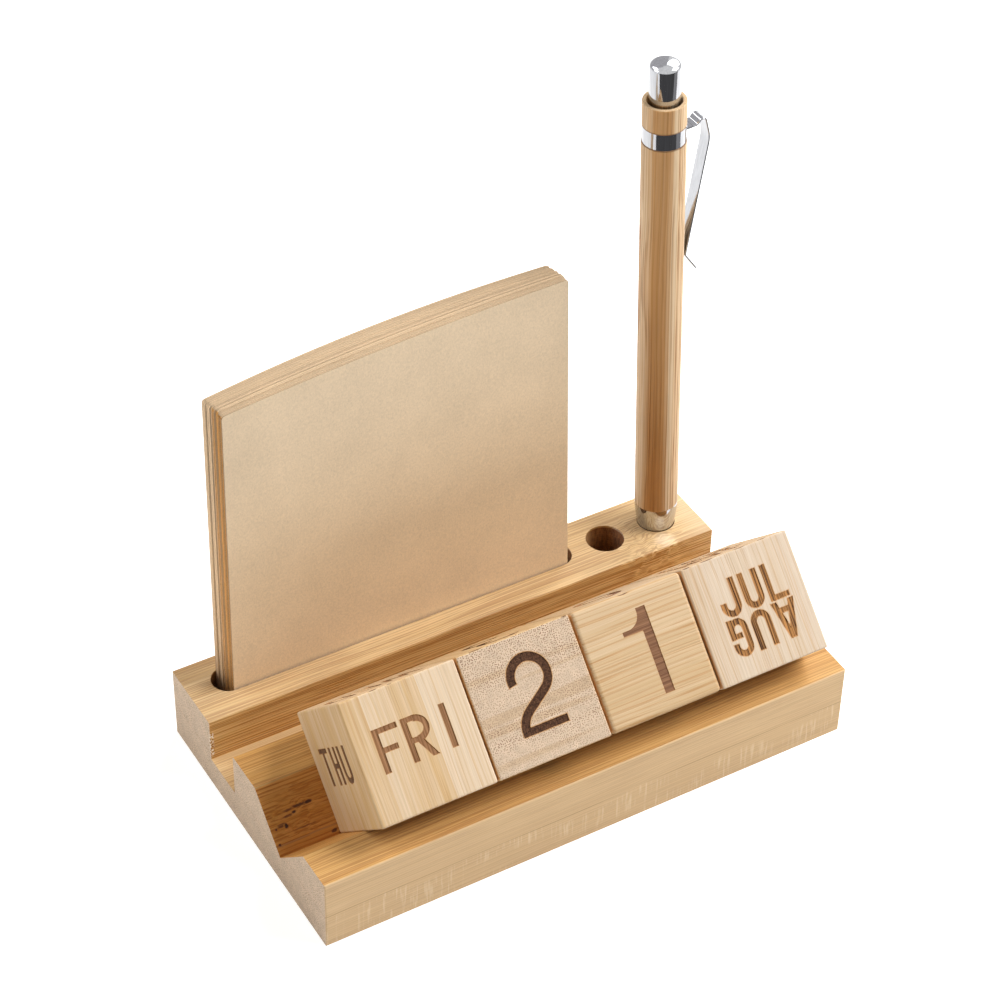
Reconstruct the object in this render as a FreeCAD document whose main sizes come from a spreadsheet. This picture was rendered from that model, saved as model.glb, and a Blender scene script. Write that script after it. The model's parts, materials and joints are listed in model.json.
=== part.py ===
"""Bamboo desk calendar: a grooved block with four date cubes, memo sheets and a push-button pen.

Millimetres. +Z is up, +X runs to the right along the grooves and +Y runs to the rear. The origin is the
middle of the block's underside.
"""
import FreeCAD, Part
import math
import os

import Sketcher
from FreeCAD import Placement, Rotation, Vector

SIZES = {
    # block
    "base_length": 140.0,
    "base_depth": 78.0,
    "base_height": 20.0,
    "base_edge_radius": 0.4,
    "front_land_width": 10.2,
    "cube_groove_depth": 12.0,
    "phone_groove_width": 12.4,
    "phone_groove_depth": 12.0,
    "rear_land_width": 20.1,
    # slot for the memo sheets, with round ends
    "memo_slot_hole_gap": 5.05,
    "memo_slot_width": 8.6,
    "memo_slot_depth": 12.0,
    "memo_slot_end_margin": 6.3,
    "memo_slot_rear_margin": 4.6,
    # drilled pen holes
    "pen_hole_radius": 4.85,
    "pen_hole_depth": 15.0,
    "pen_hole_pitch": 15.0,
    "pen_hole_end_margin": 10.3,
    "pen_hole_rear_margin": 9.7,
    # date cubes, standing on an edge in the V groove
    "cube_side": 29.5,
    "cube_edge_radius": 0.5,
    "units_edge_radius": 1.1,
    "cube_gap": 0.5,
    "first_cube_margin": 15.4,
    "cube_seat_gap": 0.02,
    # memo sheets
    "sheet_height": 95.7,
    "sheet_corner_radius": 0.8,
    "front_sheet_thickness": 0.2,
    "bunch_thickness": 1.3,
    "bunch_gap": 0.2,
    "front_sheet_gap": 0.25,
    "stack_wall_gap": 0.45,
    "sheet_floor_gap": 0.1,
    "sheet_left_margin": 3.8,
    "sheet_right_margin": 2.9,
    "bunch_side_step": 0.2,
    "stack_lean_left": -2.1,
    "stack_lean_right": 4.5,
    "foot_bow": 0.05,
    "front_bow": 1.3,
    "fan_left": 0.2,
    "fan_right": -0.3,
    "fan_bow": 1.2,
    # pen, measured along its own axis from the mouth of its hole
    "pen_lean": 2.0,
    "pen_lean_turn": 20.0,
    "nose_seat_gap": 0.45,
    "nose_inside_hole": 9.6,
    "nose_shoulder": 7.1,
    "nose_tip_radius": 1.45,
    "nose_bow": 0.55,
    "nose_top_radius": 5.4,
    "nose_wall": 0.9,
    "nose_neck_length": 6.0,
    "nose_spring_seat": 3.2,
    "barrel_length": 107.8,
    "barrel_bottom_radius": 5.4,
    "barrel_top_radius": 5.23,
    "ring_height": 4.2,
    "ring_inset": 0.1,
    "collar_height": 6.4,
    "collar_radius": 5.15,
    "collar_bore_radius": 4.1,
    "collar_edge_radius": 0.25,
    "liner_outer_radius": 4.2,
    "liner_wall": 0.3,
    "glue_gap": 0.05,
    "button_radius": 3.55,
    "button_wall": 0.35,
    "button_above_collar": 10.1,
    "button_below_collar": 6.0,
    "button_shoulder_radius": 1.3,
    "button_travel": 5.0,
    "plunger_radius": 2.45,
    "plunger_stem_length": 16.45,
    "plunger_bore_radius": 1.2,
    "cam_teeth": 6.0,
    "cam_tooth_height": 1.2,
    "cam_clearance": 0.15,
    "rotor_length": 7.0,
    "rib_count": 3.0,
    "rib_width": 0.8,
    "rib_length": 3.0,
    "rib_reach": 3.25,
    "rib_root_radius": 2.0,
    "sleeve_length": 22.0,
    "sleeve_closed_length": 4.0,
    "running_gap": 0.1,
    "refill_tip_recess": 1.4,
    "refill_tube_radius": 1.55,
    "refill_tube_wall": 0.4,
    "refill_tip_length": 11.0,
    "refill_tip_radius": 1.15,
    "refill_taper_length": 2.4,
    "refill_mouth_radius": 0.52,
    "refill_spigot_length": 3.1,
    "refill_shoulder_height": 1.5,
    "refill_ball_radius": 0.4,
    "refill_ball_gap": 0.01,
    "spring_length": 21.0,
    "spring_coils": 11.0,
    "spring_radius": 2.05,
    "spring_wire_radius": 0.19,
    "clip_width": 3.6,
    "clip_thickness": 0.4,
    "clip_tab_height": 1.9,
    "clip_tab_reach": 6.6,
    "clip_riser_reach": 7.9,
    "clip_hump_front_reach": 8.9,
    "clip_hump_back_reach": 10.1,
    "clip_hump_height": 1.2,
    "clip_shoulder_reach": 11.4,
    "clip_shoulder_drop": 4.4,
    "clip_contact_drop": 35.6,
    "clip_contact_gap": 0.15,
    "clip_flare_reach": 8.7,
    "clip_flare_drop": 4.8,
    "clip_riser_bend": 0.6,
    "clip_hump_bend": 0.8,
    "clip_shoulder_bend": 8.0,
    "clip_foot_bend": 1.2,
}

BUNCH_COUNT = 5
CUBE_NAMES = ("weekday_block", "tens_block", "units_block", "month_block")

doc = FreeCAD.newDocument("desk_calendar")


class Size:
    """A number of the model together with the spreadsheet formula that gives it."""

    def __init__(self, value, formula):
        self.value = float(value)
        self.formula = formula

    @staticmethod
    def of(other):
        return other if isinstance(other, Size) else Size(other, repr(float(other)))

    def _join(self, other, sign, value):
        return Size(value, f"({self.formula} {sign} {other.formula})")

    def __add__(self, other):
        other = Size.of(other)
        return self._join(other, "+", self.value + other.value)

    def __sub__(self, other):
        other = Size.of(other)
        return self._join(other, "-", self.value - other.value)

    def __mul__(self, other):
        other = Size.of(other)
        return self._join(other, "*", self.value * other.value)

    def __truediv__(self, other):
        other = Size.of(other)
        return self._join(other, "/", self.value / other.value)

    def __radd__(self, other):
        return Size.of(other) + self

    def __rsub__(self, other):
        return Size.of(other) - self

    def __rmul__(self, other):
        return Size.of(other) * self

    def __neg__(self):
        return Size(-self.value, f"(0 - {self.formula})")

    def __float__(self):
        return self.value


def make_sheet():
    """The spreadsheet of driving sizes, one named cell each."""
    sheet = doc.addObject("Spreadsheet::Sheet", "Sizes")
    for row, (name, value) in enumerate(SIZES.items(), start=1):
        sheet.set(f"A{row}", str(value))
        sheet.setAlias(f"A{row}", name)
    doc.recompute()
    return {name: Size(getattr(sheet, name), f"Sizes.{name}") for name in SIZES}


size = make_sheet()


# ---------------------------------------------------------------- drawing helpers


def set_size(thing, prop, amount):
    """Give a property its value and bind it to the sheet."""
    amount = Size.of(amount)
    thing.setExpression(prop, amount.formula)


def new_body(name, base=(0, 0, 0), axis=(0, 0, 1), angle=0):
    """A body whose place is bound to the sheet, turned by an angle in degrees about an axis."""
    body = doc.addObject("PartDesign::Body", name)
    body.Label = name
    body.Placement = Placement(Vector(0, 0, 0), Rotation(Vector(*axis), float(Size.of(angle))))
    for letter, amount in zip("xyz", base):
        set_size(body, f"Placement.Base.{letter}", amount)
    if isinstance(angle, Size):
        set_size(body, "Placement.Rotation.Angle", angle)
    return body


def plane_of(body, role):
    return next(item for item in body.Origin.OriginFeatures if item.Role == role)


def new_sketch(body, name, role, height=0):
    """A sketch on one of the body's origin planes, lifted along the plane's normal."""
    sketch = body.newObject("Sketcher::SketchObject", name)
    sketch.AttachmentSupport = [(plane_of(body, role), "")]
    sketch.MapMode = "FlatFace"
    set_size(sketch, "AttachmentOffset.Base.z", height)
    return sketch


def hold(sketch, constraint, amount, name):
    """Add a constraint whose value is bound to the sheet."""
    sketch.renameConstraint(sketch.addConstraint(constraint), name)
    sketch.setExpression(f"Constraints.{name}", amount.formula)


def pin_point(sketch, geometry, position, across, up, name):
    """Hold a sketch point at two sizes measured from the sketch's origin."""
    for kind, axis, amount in (("DistanceX", "x", across), ("DistanceY", "y", up)):
        amount = Size.of(amount)
        constraint = Sketcher.Constraint(kind, -1, 1, geometry, position, amount.value)
        hold(sketch, constraint, amount, f"{name}_{axis}")


def draw_outline(sketch, corners):
    """A closed outline, every corner held by the sheet.

    A corner is (x, y), or (x, y, bow) where the edge that leaves it is an arc. bow is the arc's height over
    its chord, to the right of the way the outline runs.
    """
    places = [Vector(float(Size.of(corner[0])), float(Size.of(corner[1])), 0) for corner in corners]
    first = sketch.GeometryCount
    ends = []
    for index, corner in enumerate(corners):
        following = (index + 1) % len(corners)
        start, end = places[index], places[following]
        if len(corner) == 2:
            sketch.addGeometry(Part.LineSegment(start, end), False)
            ends.append((1, 2))
            continue
        bow = Size.of(corner[2])
        along = (end - start).normalize()
        middle = (start + end) * 0.5 + Vector(along.y, -along.x, 0) * bow.value
        anticlockwise = bow.value > 0
        arc = Part.Arc(start, middle, end) if anticlockwise else Part.Arc(end, middle, start)
        geometry = sketch.addGeometry(arc, False)
        ends.append((1, 2) if anticlockwise else (2, 1))
        run = Size.of(corners[following][0]) - Size.of(corner[0])
        rise = Size.of(corners[following][1]) - Size.of(corner[1])
        radius = (run * run + rise * rise + bow * bow * 4) / (bow * 8)
        radius = radius if anticlockwise else -radius
        hold(sketch, Sketcher.Constraint("Radius", geometry, radius.value), radius, f"radius{geometry}")
    for index, (_, end) in enumerate(ends):
        following = (index + 1) % len(ends)
        start = ends[following][0]
        sketch.addConstraint(Sketcher.Constraint("Coincident", first + index, end, first + following, start))
    for index, corner in enumerate(corners):
        pin_point(sketch, first + index, ends[index][0], corner[0], corner[1], f"corner{first + index}")


def draw_circle(sketch, across, up, radius, name):
    centre = Vector(float(Size.of(across)), float(Size.of(up)), 0)
    index = sketch.addGeometry(Part.Circle(centre, Vector(0, 0, 1), float(Size.of(radius))), False)
    pin_point(sketch, index, 3, across, up, name)
    radius = Size.of(radius)
    hold(sketch, Sketcher.Constraint("Radius", index, radius.value), radius, f"{name}_radius")


def pad(body, sketch, length, symmetric=False, backwards=False):
    feature = body.newObject("PartDesign::Pad", f"{sketch.Name}_pad")
    feature.Profile = sketch
    feature.SideType = "Symmetric" if symmetric else "One side"
    feature.Reversed = backwards
    set_size(feature, "Length", length)
    return feature


def pocket(body, sketch, length, symmetric=False, backwards=False):
    """Cut a sketch into the body and make sure that it removed something."""
    doc.recompute()
    before = body.Shape.Volume
    feature = body.newObject("PartDesign::Pocket", f"{sketch.Name}_pocket")
    feature.Profile = sketch
    feature.SideType = "Symmetric" if symmetric else "One side"
    feature.Reversed = backwards
    set_size(feature, "Length", length)
    doc.recompute()
    if body.Shape.Volume >= before:
        raise RuntimeError(f"{sketch.Name} cuts nothing from {body.Label}")
    return feature


def revolve(body, points, name="profile"):
    """A turned piece: radius and height pairs, spun about the body's Z axis."""
    sketch = new_sketch(body, f"{body.Name}_{name}", "XZ_Plane")
    draw_outline(sketch, points)
    feature = body.newObject("PartDesign::Revolution", f"{body.Name}_{name}_turned")
    feature.Profile = sketch
    feature.ReferenceAxis = (sketch, ["V_Axis"])
    feature.Angle = 360
    return feature


def polar(body, feature, count):
    """Repeat a feature round the body's Z axis."""
    ring = body.newObject("PartDesign::PolarPattern", f"{feature.Name}_ring")
    ring.Originals = [feature]
    ring.Axis = (plane_of(body, "Z_Axis"), [""])
    ring.Angle = 360
    set_size(ring, "Occurrences", count)
    body.Tip = ring
    return ring


def round_edges(body, feature, wanted, radius):
    """Fillet the edges of a feature that a test picks."""
    doc.recompute()
    names = [
        f"Edge{index}" for index, edge in enumerate(feature.Shape.Edges, start=1) if wanted(edge)
    ]
    if not names:
        raise RuntimeError(f"no edge to round on {body.Label}")
    fillet = body.newObject("PartDesign::Fillet", f"{body.Name}_rounded_{len(body.Group)}")
    fillet.Base = (feature, names)
    set_size(fillet, "Radius", radius)
    return fillet


# ---------------------------------------------------------------- places that pieces share

half_length = size["base_length"] / 2
half_depth = size["base_depth"] / 2
base_top = size["base_height"]

groove_front = size["front_land_width"] - half_depth
groove_line = groove_front + size["cube_groove_depth"]
groove_rear = groove_line + size["cube_groove_depth"]
groove_bottom = base_top - size["cube_groove_depth"]
phone_rear = half_depth - size["rear_land_width"]
phone_front = phone_rear - size["phone_groove_width"]
phone_floor = base_top - size["phone_groove_depth"]

pen_x = half_length - size["pen_hole_end_margin"]
pen_y = half_depth - size["pen_hole_rear_margin"]
spare_hole_x = pen_x - size["pen_hole_pitch"]

slot_radius = size["memo_slot_width"] / 2
slot_line = half_depth - size["memo_slot_rear_margin"] - slot_radius
slot_left = size["memo_slot_end_margin"] - half_length
slot_right = spare_hole_x - size["pen_hole_radius"] - size["memo_slot_hole_gap"]
slot_floor = base_top - size["memo_slot_depth"]

ring_bottom = size["nose_shoulder"] + size["barrel_length"]
ring_top = ring_bottom + size["ring_height"]
collar_top = ring_top + size["collar_height"]
button_top = collar_top + size["button_above_collar"]
button_bottom = collar_top - size["button_below_collar"]
liner_inner = size["liner_outer_radius"] - size["liner_wall"]
bamboo_bore = size["liner_outer_radius"] + size["glue_gap"]
refill_bottom = size["refill_tip_recess"] - size["nose_inside_hole"]
plunger_bottom = button_bottom - size["plunger_stem_length"]
rotor_top = plunger_bottom - size["cam_clearance"]
refill_top = rotor_top - size["rotor_length"]
spring_bottom = -size["nose_spring_seat"]
spring_top = spring_bottom + size["spring_length"]
clip_level = ring_bottom + size["clip_tab_height"]
clip_root = size["clip_tab_reach"] + size["glue_gap"]


# ---------------------------------------------------------------- block


def along_x(edge):
    """True for a long straight edge that runs the length of the block."""
    box = edge.BoundBox
    return box.XLength > 0.9 * float(size["base_length"]) and box.YLength + box.ZLength < 1e-6


def make_base_block():
    """One laminated block, milled along its length, then slotted and drilled from the top."""
    body = new_body("base_block")
    section = new_sketch(body, "block_section", "YZ_Plane")
    draw_outline(
        section,
        [
            (-half_depth, 0),
            (half_depth, 0),
            (half_depth, base_top),
            (phone_rear, base_top),
            (phone_rear, phone_floor),
            (phone_front, phone_floor),
            (phone_front, base_top),
            (groove_rear, base_top),
            (groove_line, groove_bottom),
            (groove_front, base_top),
            (-half_depth, base_top),
        ],
    )
    block = pad(body, section, size["base_length"], symmetric=True)

    def convex(edge):
        place = edge.CenterOfMass
        inner_corner = abs(place.z - float(groove_bottom)) < 1e-6 or abs(place.z - float(phone_floor)) < 1e-6
        return along_x(edge) and not inner_corner

    def upright(edge):
        box = edge.BoundBox
        corner = abs(abs(edge.CenterOfMass.y) - float(half_depth)) < 1e-6
        return corner and box.XLength + box.YLength < 1e-6

    block = round_edges(body, block, lambda edge: convex(edge) or upright(edge), size["base_edge_radius"])

    slot = new_sketch(body, "memo_slot", "XY_Plane", base_top)
    left = slot_left + slot_radius
    right = slot_right - slot_radius
    draw_stadium(slot, left, right, slot_line, slot_radius)
    pocket(body, slot, size["memo_slot_depth"])

    drill = new_sketch(body, "pen_hole_centre", "XY_Plane", base_top)
    draw_circle(drill, pen_x, pen_y, size["pen_hole_radius"], "hole")
    doc.recompute()
    before = body.Shape.Volume
    hole = body.newObject("PartDesign::Hole", "pen_hole")
    hole.Profile = drill
    hole.DepthType = "Dimension"
    hole.DrillPoint = "Flat"
    set_size(hole, "Diameter", size["pen_hole_radius"] * 2)
    set_size(hole, "Depth", size["pen_hole_depth"])
    doc.recompute()
    pair = body.newObject("PartDesign::LinearPattern", "pen_hole_pair")
    pair.Originals = [hole]
    pair.Direction = (plane_of(body, "X_Axis"), [""])
    pair.Reversed = True
    pair.Occurrences = 2
    set_size(pair, "Length", size["pen_hole_pitch"])
    body.Tip = pair
    doc.recompute()
    drilled = 2 * math.pi * float(size["pen_hole_radius"]) ** 2 * float(size["pen_hole_depth"])
    if before - body.Shape.Volume < 0.99 * drilled:
        raise RuntimeError("the pen holes aren't both drilled")
    return body


def draw_stadium(sketch, left, right, line, radius):
    """A slot outline with round ends along the sketch's X axis."""
    x0, x1, y, r = (float(Size.of(amount)) for amount in (left, right, line, radius))
    quarter = math.pi / 2
    up = Vector(0, 0, 1)
    sketch.addGeometry(Part.ArcOfCircle(Part.Circle(Vector(x0, y, 0), up, r), quarter, 3 * quarter), False)
    sketch.addGeometry(Part.LineSegment(Vector(x0, y - r, 0), Vector(x1, y - r, 0)), False)
    sketch.addGeometry(Part.ArcOfCircle(Part.Circle(Vector(x1, y, 0), up, r), -quarter, quarter), False)
    sketch.addGeometry(Part.LineSegment(Vector(x1, y + r, 0), Vector(x0, y + r, 0)), False)
    for index in range(4):
        sketch.addConstraint(Sketcher.Constraint("Tangent", index, 2, (index + 1) % 4, 1))
    pin_point(sketch, 0, 3, left, line, "left_end")
    pin_point(sketch, 2, 3, right, line, "right_end")
    hold(sketch, Sketcher.Constraint("Radius", 0, r), radius, "end_radius")


# ---------------------------------------------------------------- date cubes


def make_cube(name, place):
    """A solid cube on edge: its own Z is the face that looks up and forwards."""
    side = size["cube_side"]
    half_diagonal = side * math.sqrt(0.5)
    left = size["first_cube_margin"] - half_length + (side + size["cube_gap"]) * place
    height = groove_bottom + half_diagonal + size["cube_seat_gap"]
    body = new_body(name, (left + side / 2, groove_line, height), (1, 0, 0), 45)
    outline = new_sketch(body, f"{name}_face", "XY_Plane")
    half = side / 2
    draw_outline(outline, [(-half, -half), (half, -half), (half, half), (-half, half)])
    block = pad(body, outline, side, symmetric=True)
    radius = size["units_edge_radius"] if name == "units_block" else size["cube_edge_radius"]
    round_edges(body, block, lambda edge: True, radius)
    return body


# ---------------------------------------------------------------- memo sheets

sheet_bottom = slot_floor + size["sheet_floor_gap"]
sheet_left = slot_left + size["sheet_left_margin"]
sheet_right = slot_right - size["sheet_right_margin"]
stack_front = slot_line - slot_radius + size["stack_wall_gap"]


def sheet_section(body, name, height, left, right, front, rear, bow):
    """One level of a bunch. front and rear are each (left y, right y), and both faces bow to the rear."""
    sketch = new_sketch(body, name, "XY_Plane", height)
    corners = [(right, front[1], bow), (left, front[0]), (left, rear[0], -bow), (right, rear[1])]
    draw_outline(sketch, corners)
    return sketch


def make_bunch(name, front, thickness, order, shift):
    """Sheets that stand upright in the slot and lean and bow more and more above it.

    order is how far back the bunch stands, from 0 at the front sheet to 1 at the last bunch.
    """
    body = new_body(name)
    left = sheet_left + shift
    right = sheet_right + shift
    rear = front + thickness
    lean_left = size["stack_lean_left"] + size["fan_left"] * order
    lean_right = size["stack_lean_right"] + size["fan_right"] * order
    bow = size["front_bow"] + size["fan_bow"] * order
    top = sheet_bottom + size["sheet_height"]
    front_top = (front + lean_left, front + lean_right)
    rear_top = (rear + lean_left, rear + lean_right)
    upright = (left, right, (front, front), (rear, rear), size["foot_bow"])
    leaning = (left, right, front_top, rear_top, bow)
    sections = [
        sheet_section(body, f"{name}_foot", sheet_bottom, *upright),
        sheet_section(body, f"{name}_mouth", base_top, *upright),
        sheet_section(body, f"{name}_top", top, *leaning),
    ]
    loft = body.newObject("PartDesign::AdditiveLoft", f"{name}_sheets")
    loft.Profile = sections[0]
    loft.Sections = sections[1:]
    loft.Ruled = True
    corners = new_sketch(body, f"{name}_corners", "XZ_Plane")
    radius = size["sheet_corner_radius"]
    arc_height = radius * (1 - math.sqrt(0.5))
    for edge, inwards in ((left, 1), (right, -1)):
        outline = [
            (edge - radius * inwards, top + radius),
            (edge - radius * inwards, top - radius),
            (edge, top - radius, arc_height * -inwards),
            (edge + radius * inwards, top),
            (edge + radius * inwards, top + radius),
        ]
        draw_outline(corners, outline)
    pocket(body, corners, size["base_depth"] * 2, symmetric=True)
    return body


def make_memo_sheets():
    """The front sheet, and behind it the rest of the stack as equal bunches."""
    bodies = [make_bunch("memo_front_sheet", stack_front, size["front_sheet_thickness"], 0, Size.of(0))]
    front = stack_front + size["front_sheet_thickness"] + size["front_sheet_gap"]
    for number in range(1, BUNCH_COUNT + 1):
        shift = -size["bunch_side_step"] * number
        order = number / BUNCH_COUNT
        name = f"memo_bunch_{number}"
        bodies.append(make_bunch(name, front, size["bunch_thickness"], order, shift))
        front = front + size["bunch_thickness"] + size["bunch_gap"]
    return bodies


# ---------------------------------------------------------------- pen


def pen_body(name):
    """A body in the pen's own frame: origin at the mouth of the hole, Z up along the leaning pen.

    The pen leans to the left, turned a little to the rear.
    """
    turn = math.radians(float(size["pen_lean_turn"]))
    across = (-math.sin(turn), -math.cos(turn), 0)
    return new_body(name, (pen_x, pen_y, base_top), across, size["pen_lean"])


def make_nose_cone():
    """Turned metal cone with a threaded neck inside the barrel and a seat for the spring."""
    body = pen_body("pen_nose_cone")
    tip = -size["nose_inside_hole"]
    mouth = size["pen_hole_radius"] - size["nose_seat_gap"]
    shoulder = size["nose_shoulder"]
    bore = size["refill_tip_radius"] + size["running_gap"]
    neck_radius = liner_inner - size["glue_gap"]
    cavity = neck_radius - size["nose_wall"]
    seat = spring_bottom - size["glue_gap"]
    revolve(
        body,
        [
            (bore, tip),
            (size["nose_tip_radius"], tip, size["nose_bow"]),
            (mouth, 0),
            (size["nose_top_radius"], shoulder),
            (neck_radius, shoulder),
            (neck_radius, shoulder + size["nose_neck_length"]),
            (cavity, shoulder + size["nose_neck_length"]),
            (cavity, seat),
            (bore, seat),
        ],
    )
    return body


def tube(name, inner, outer, bottom, top, top_outer=None):
    """A turned tube, straight or tapered outside."""
    body = pen_body(name)
    upper = outer if top_outer is None else top_outer
    revolve(body, [(inner, bottom), (outer, bottom), (upper, top), (inner, top)])
    return body


def make_collar():
    body = tube("pen_collar", size["collar_bore_radius"], size["collar_radius"], ring_top, collar_top)

    def top_rim(edge):
        return edge.BoundBox.ZLength < 1e-6 and abs(edge.BoundBox.ZMin - float(collar_top)) < 1e-6

    round_edges(body, body.Tip, top_rim, size["collar_edge_radius"])
    return body


def clip_outline(points, radii, thickness):
    """Closed outline of a bent strip from the middle line's corners and the bend radius at each."""

    def offset_corners(side):
        corners = []
        for index, point in enumerate(points):
            before = (point - points[index - 1]).normalize() if index else None
            after = (points[index + 1] - point).normalize() if index < len(points) - 1 else None
            if before is None or after is None:
                along = after or before
                corners.append(point + Vector(-along.y, along.x, 0) * side)
                continue
            normal = Vector(-before.y, before.x, 0) + Vector(-after.y, after.x, 0)
            square = normal.normalize() * (side / math.sqrt((1 + before.dot(after)) / 2))
            corners.append(point + square)
        return corners

    def bend(corners, side):
        edges = []
        start = corners[0]
        for index in range(1, len(corners) - 1):
            into = (corners[index] - corners[index - 1]).normalize()
            out = (corners[index + 1] - corners[index]).normalize()
            turn = math.acos(max(-1, min(1, into.dot(out))))
            leftwards = into.x * out.y - into.y * out.x > 0
            radius = radii[index - 1] - side if leftwards else radii[index - 1] + side
            reach = radius * math.tan(turn / 2)
            first = corners[index] - into * reach
            last = corners[index] + out * reach
            bisector = (out - into).normalize()
            depth = radius / math.cos(turn / 2) - radius
            edges.append(Part.LineSegment(start, first))
            edges.append(Part.Arc(first, corners[index] + bisector * depth, last))
            start = last
        edges.append(Part.LineSegment(start, corners[-1]))
        return edges

    half = thickness / 2
    one = bend(offset_corners(half), half)
    other = bend(offset_corners(-half), -half)
    caps = [
        Part.LineSegment(one[0].StartPoint, other[0].StartPoint),
        Part.LineSegment(one[-1].EndPoint, other[-1].EndPoint),
    ]
    return one + other + caps


def make_ring():
    """Metal ring between barrel and collar, with the short tab that the clip grows from."""
    outer = size["barrel_top_radius"] - size["ring_inset"]
    body = tube("pen_ring", bamboo_bore, outer, ring_bottom, ring_top)
    tab = new_sketch(body, "ring_tab", "XZ_Plane")
    low = clip_level - size["clip_thickness"] / 2
    high = clip_level + size["clip_thickness"] / 2
    root = (bamboo_bore + outer) / 2
    reach = size["clip_tab_reach"]
    draw_outline(tab, [(root, low), (reach, low), (reach, high), (root, high)])
    pad(body, tab, size["clip_width"], symmetric=True)
    return body


def make_clip():
    """Spring strip: out from the ring, over a low hump and down to the barrel, with a flared end."""
    body = pen_body("pen_clip")
    thickness = size["clip_thickness"]
    contact = size["barrel_top_radius"] + size["clip_contact_gap"] + thickness / 2
    middle_line = [
        (clip_root, clip_level),
        (size["clip_riser_reach"], clip_level),
        (size["clip_hump_front_reach"], clip_level + size["clip_hump_height"]),
        (size["clip_hump_back_reach"], clip_level + size["clip_hump_height"]),
        (size["clip_shoulder_reach"], clip_level - size["clip_shoulder_drop"]),
        (contact, clip_level - size["clip_contact_drop"]),
        (size["clip_flare_reach"], clip_level - size["clip_contact_drop"] - size["clip_flare_drop"]),
    ]
    bends = ["clip_riser_bend", "clip_riser_bend", "clip_hump_bend", "clip_shoulder_bend", "clip_foot_bend"]
    points = [Vector(float(reach), float(level), 0) for reach, level in middle_line]
    radii = [float(size[bend]) for bend in bends]
    sketch = new_sketch(body, "clip_side", "XZ_Plane")
    sketch.addGeometry(clip_outline(points, radii, float(thickness)), False)
    pad(body, sketch, size["clip_width"], symmetric=True)
    return body


def make_push_button():
    """Drawn metal cap with a domed top, open below."""
    body = pen_body("pen_push_button")
    outer = size["button_radius"]
    inner = outer - size["button_wall"]
    revolve(
        body,
        [
            (0, button_top - size["button_wall"]),
            (inner, button_top - size["button_wall"]),
            (inner, button_bottom),
            (outer, button_bottom),
            (outer, button_top),
            (0, button_top),
        ],
    )

    def top_rim(edge):
        level = edge.BoundBox.ZLength < 1e-6 and abs(edge.BoundBox.ZMin - float(button_top)) < 1e-6
        return level and edge.BoundBox.XLength > float(outer)

    round_edges(body, body.Tip, top_rim, size["button_shoulder_radius"])
    return body


def cut_teeth(body, stem_end, downwards):
    """Cut a crown of V teeth round one end of a stem."""
    half_pitch = size["plunger_radius"] * math.tan(math.pi / float(size["cam_teeth"]))
    notch = new_sketch(body, f"{body.Name}_notch", "XZ_Plane")
    depth = size["cam_tooth_height"]
    root = stem_end + depth if downwards else stem_end - depth
    draw_outline(notch, [(-half_pitch, stem_end), (0, root), (half_pitch, stem_end)])
    feature = pocket(body, notch, size["plunger_radius"] * 2)
    polar(body, feature, size["cam_teeth"])


def add_ribs(body, bottom, length):
    """Three ribs that run in the guide sleeve's slots."""
    half = size["rib_width"] / 2
    rib = new_sketch(body, f"{body.Name}_rib", "XY_Plane", bottom)
    root = size["rib_root_radius"]
    reach = size["rib_reach"]
    draw_outline(rib, [(root, -half), (reach, -half), (reach, half), (root, half)])
    polar(body, pad(body, rib, length), size["rib_count"])


def make_plunger():
    """Moulded stem that fills the button and ends in a toothed crown."""
    body = pen_body("pen_plunger")
    head = size["button_radius"] - size["button_wall"] - size["glue_gap"]
    bottom = plunger_bottom
    top = button_top - size["button_wall"] - size["button_shoulder_radius"]
    bore = size["plunger_bore_radius"]
    stem = size["plunger_radius"]
    revolve(
        body,
        [
            (bore, bottom),
            (stem, bottom),
            (stem, button_bottom),
            (head, button_bottom),
            (head, top),
            (bore, top),
        ],
    )
    cut_teeth(body, bottom, downwards=True)
    add_ribs(body, bottom + size["cam_tooth_height"], size["rib_length"])
    return body


def make_rotor():
    """Cam that sits on the refill, with ribs that run in the guide sleeve."""
    body = pen_body("pen_rotor")
    stem = size["plunger_radius"]
    revolve(body, [(0, refill_top), (stem, refill_top), (stem, rotor_top), (0, rotor_top)])
    cut_teeth(body, rotor_top, downwards=False)
    add_ribs(body, rotor_top - size["cam_tooth_height"] - size["rib_length"], size["rib_length"])
    return body


def make_guide_sleeve():
    """Sleeve inside the liner, slotted for the ribs of plunger and rotor."""
    outer = liner_inner - size["glue_gap"]
    inner = size["plunger_radius"] + size["running_gap"]
    top = button_bottom - size["button_travel"] - size["running_gap"]
    bottom = top - size["sleeve_length"]
    body = tube("pen_guide_sleeve", inner, outer, bottom, top)
    half = size["rib_width"] / 2 + size["running_gap"]
    reach = size["rib_reach"] + size["running_gap"]
    slot = new_sketch(body, "rib_slot", "XY_Plane", bottom)
    draw_outline(slot, [(0, -half), (reach, -half), (reach, half), (0, half)])
    feature = pocket(body, slot, size["sleeve_length"] - size["sleeve_closed_length"], backwards=True)
    polar(body, feature, size["rib_count"])
    return body


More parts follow.
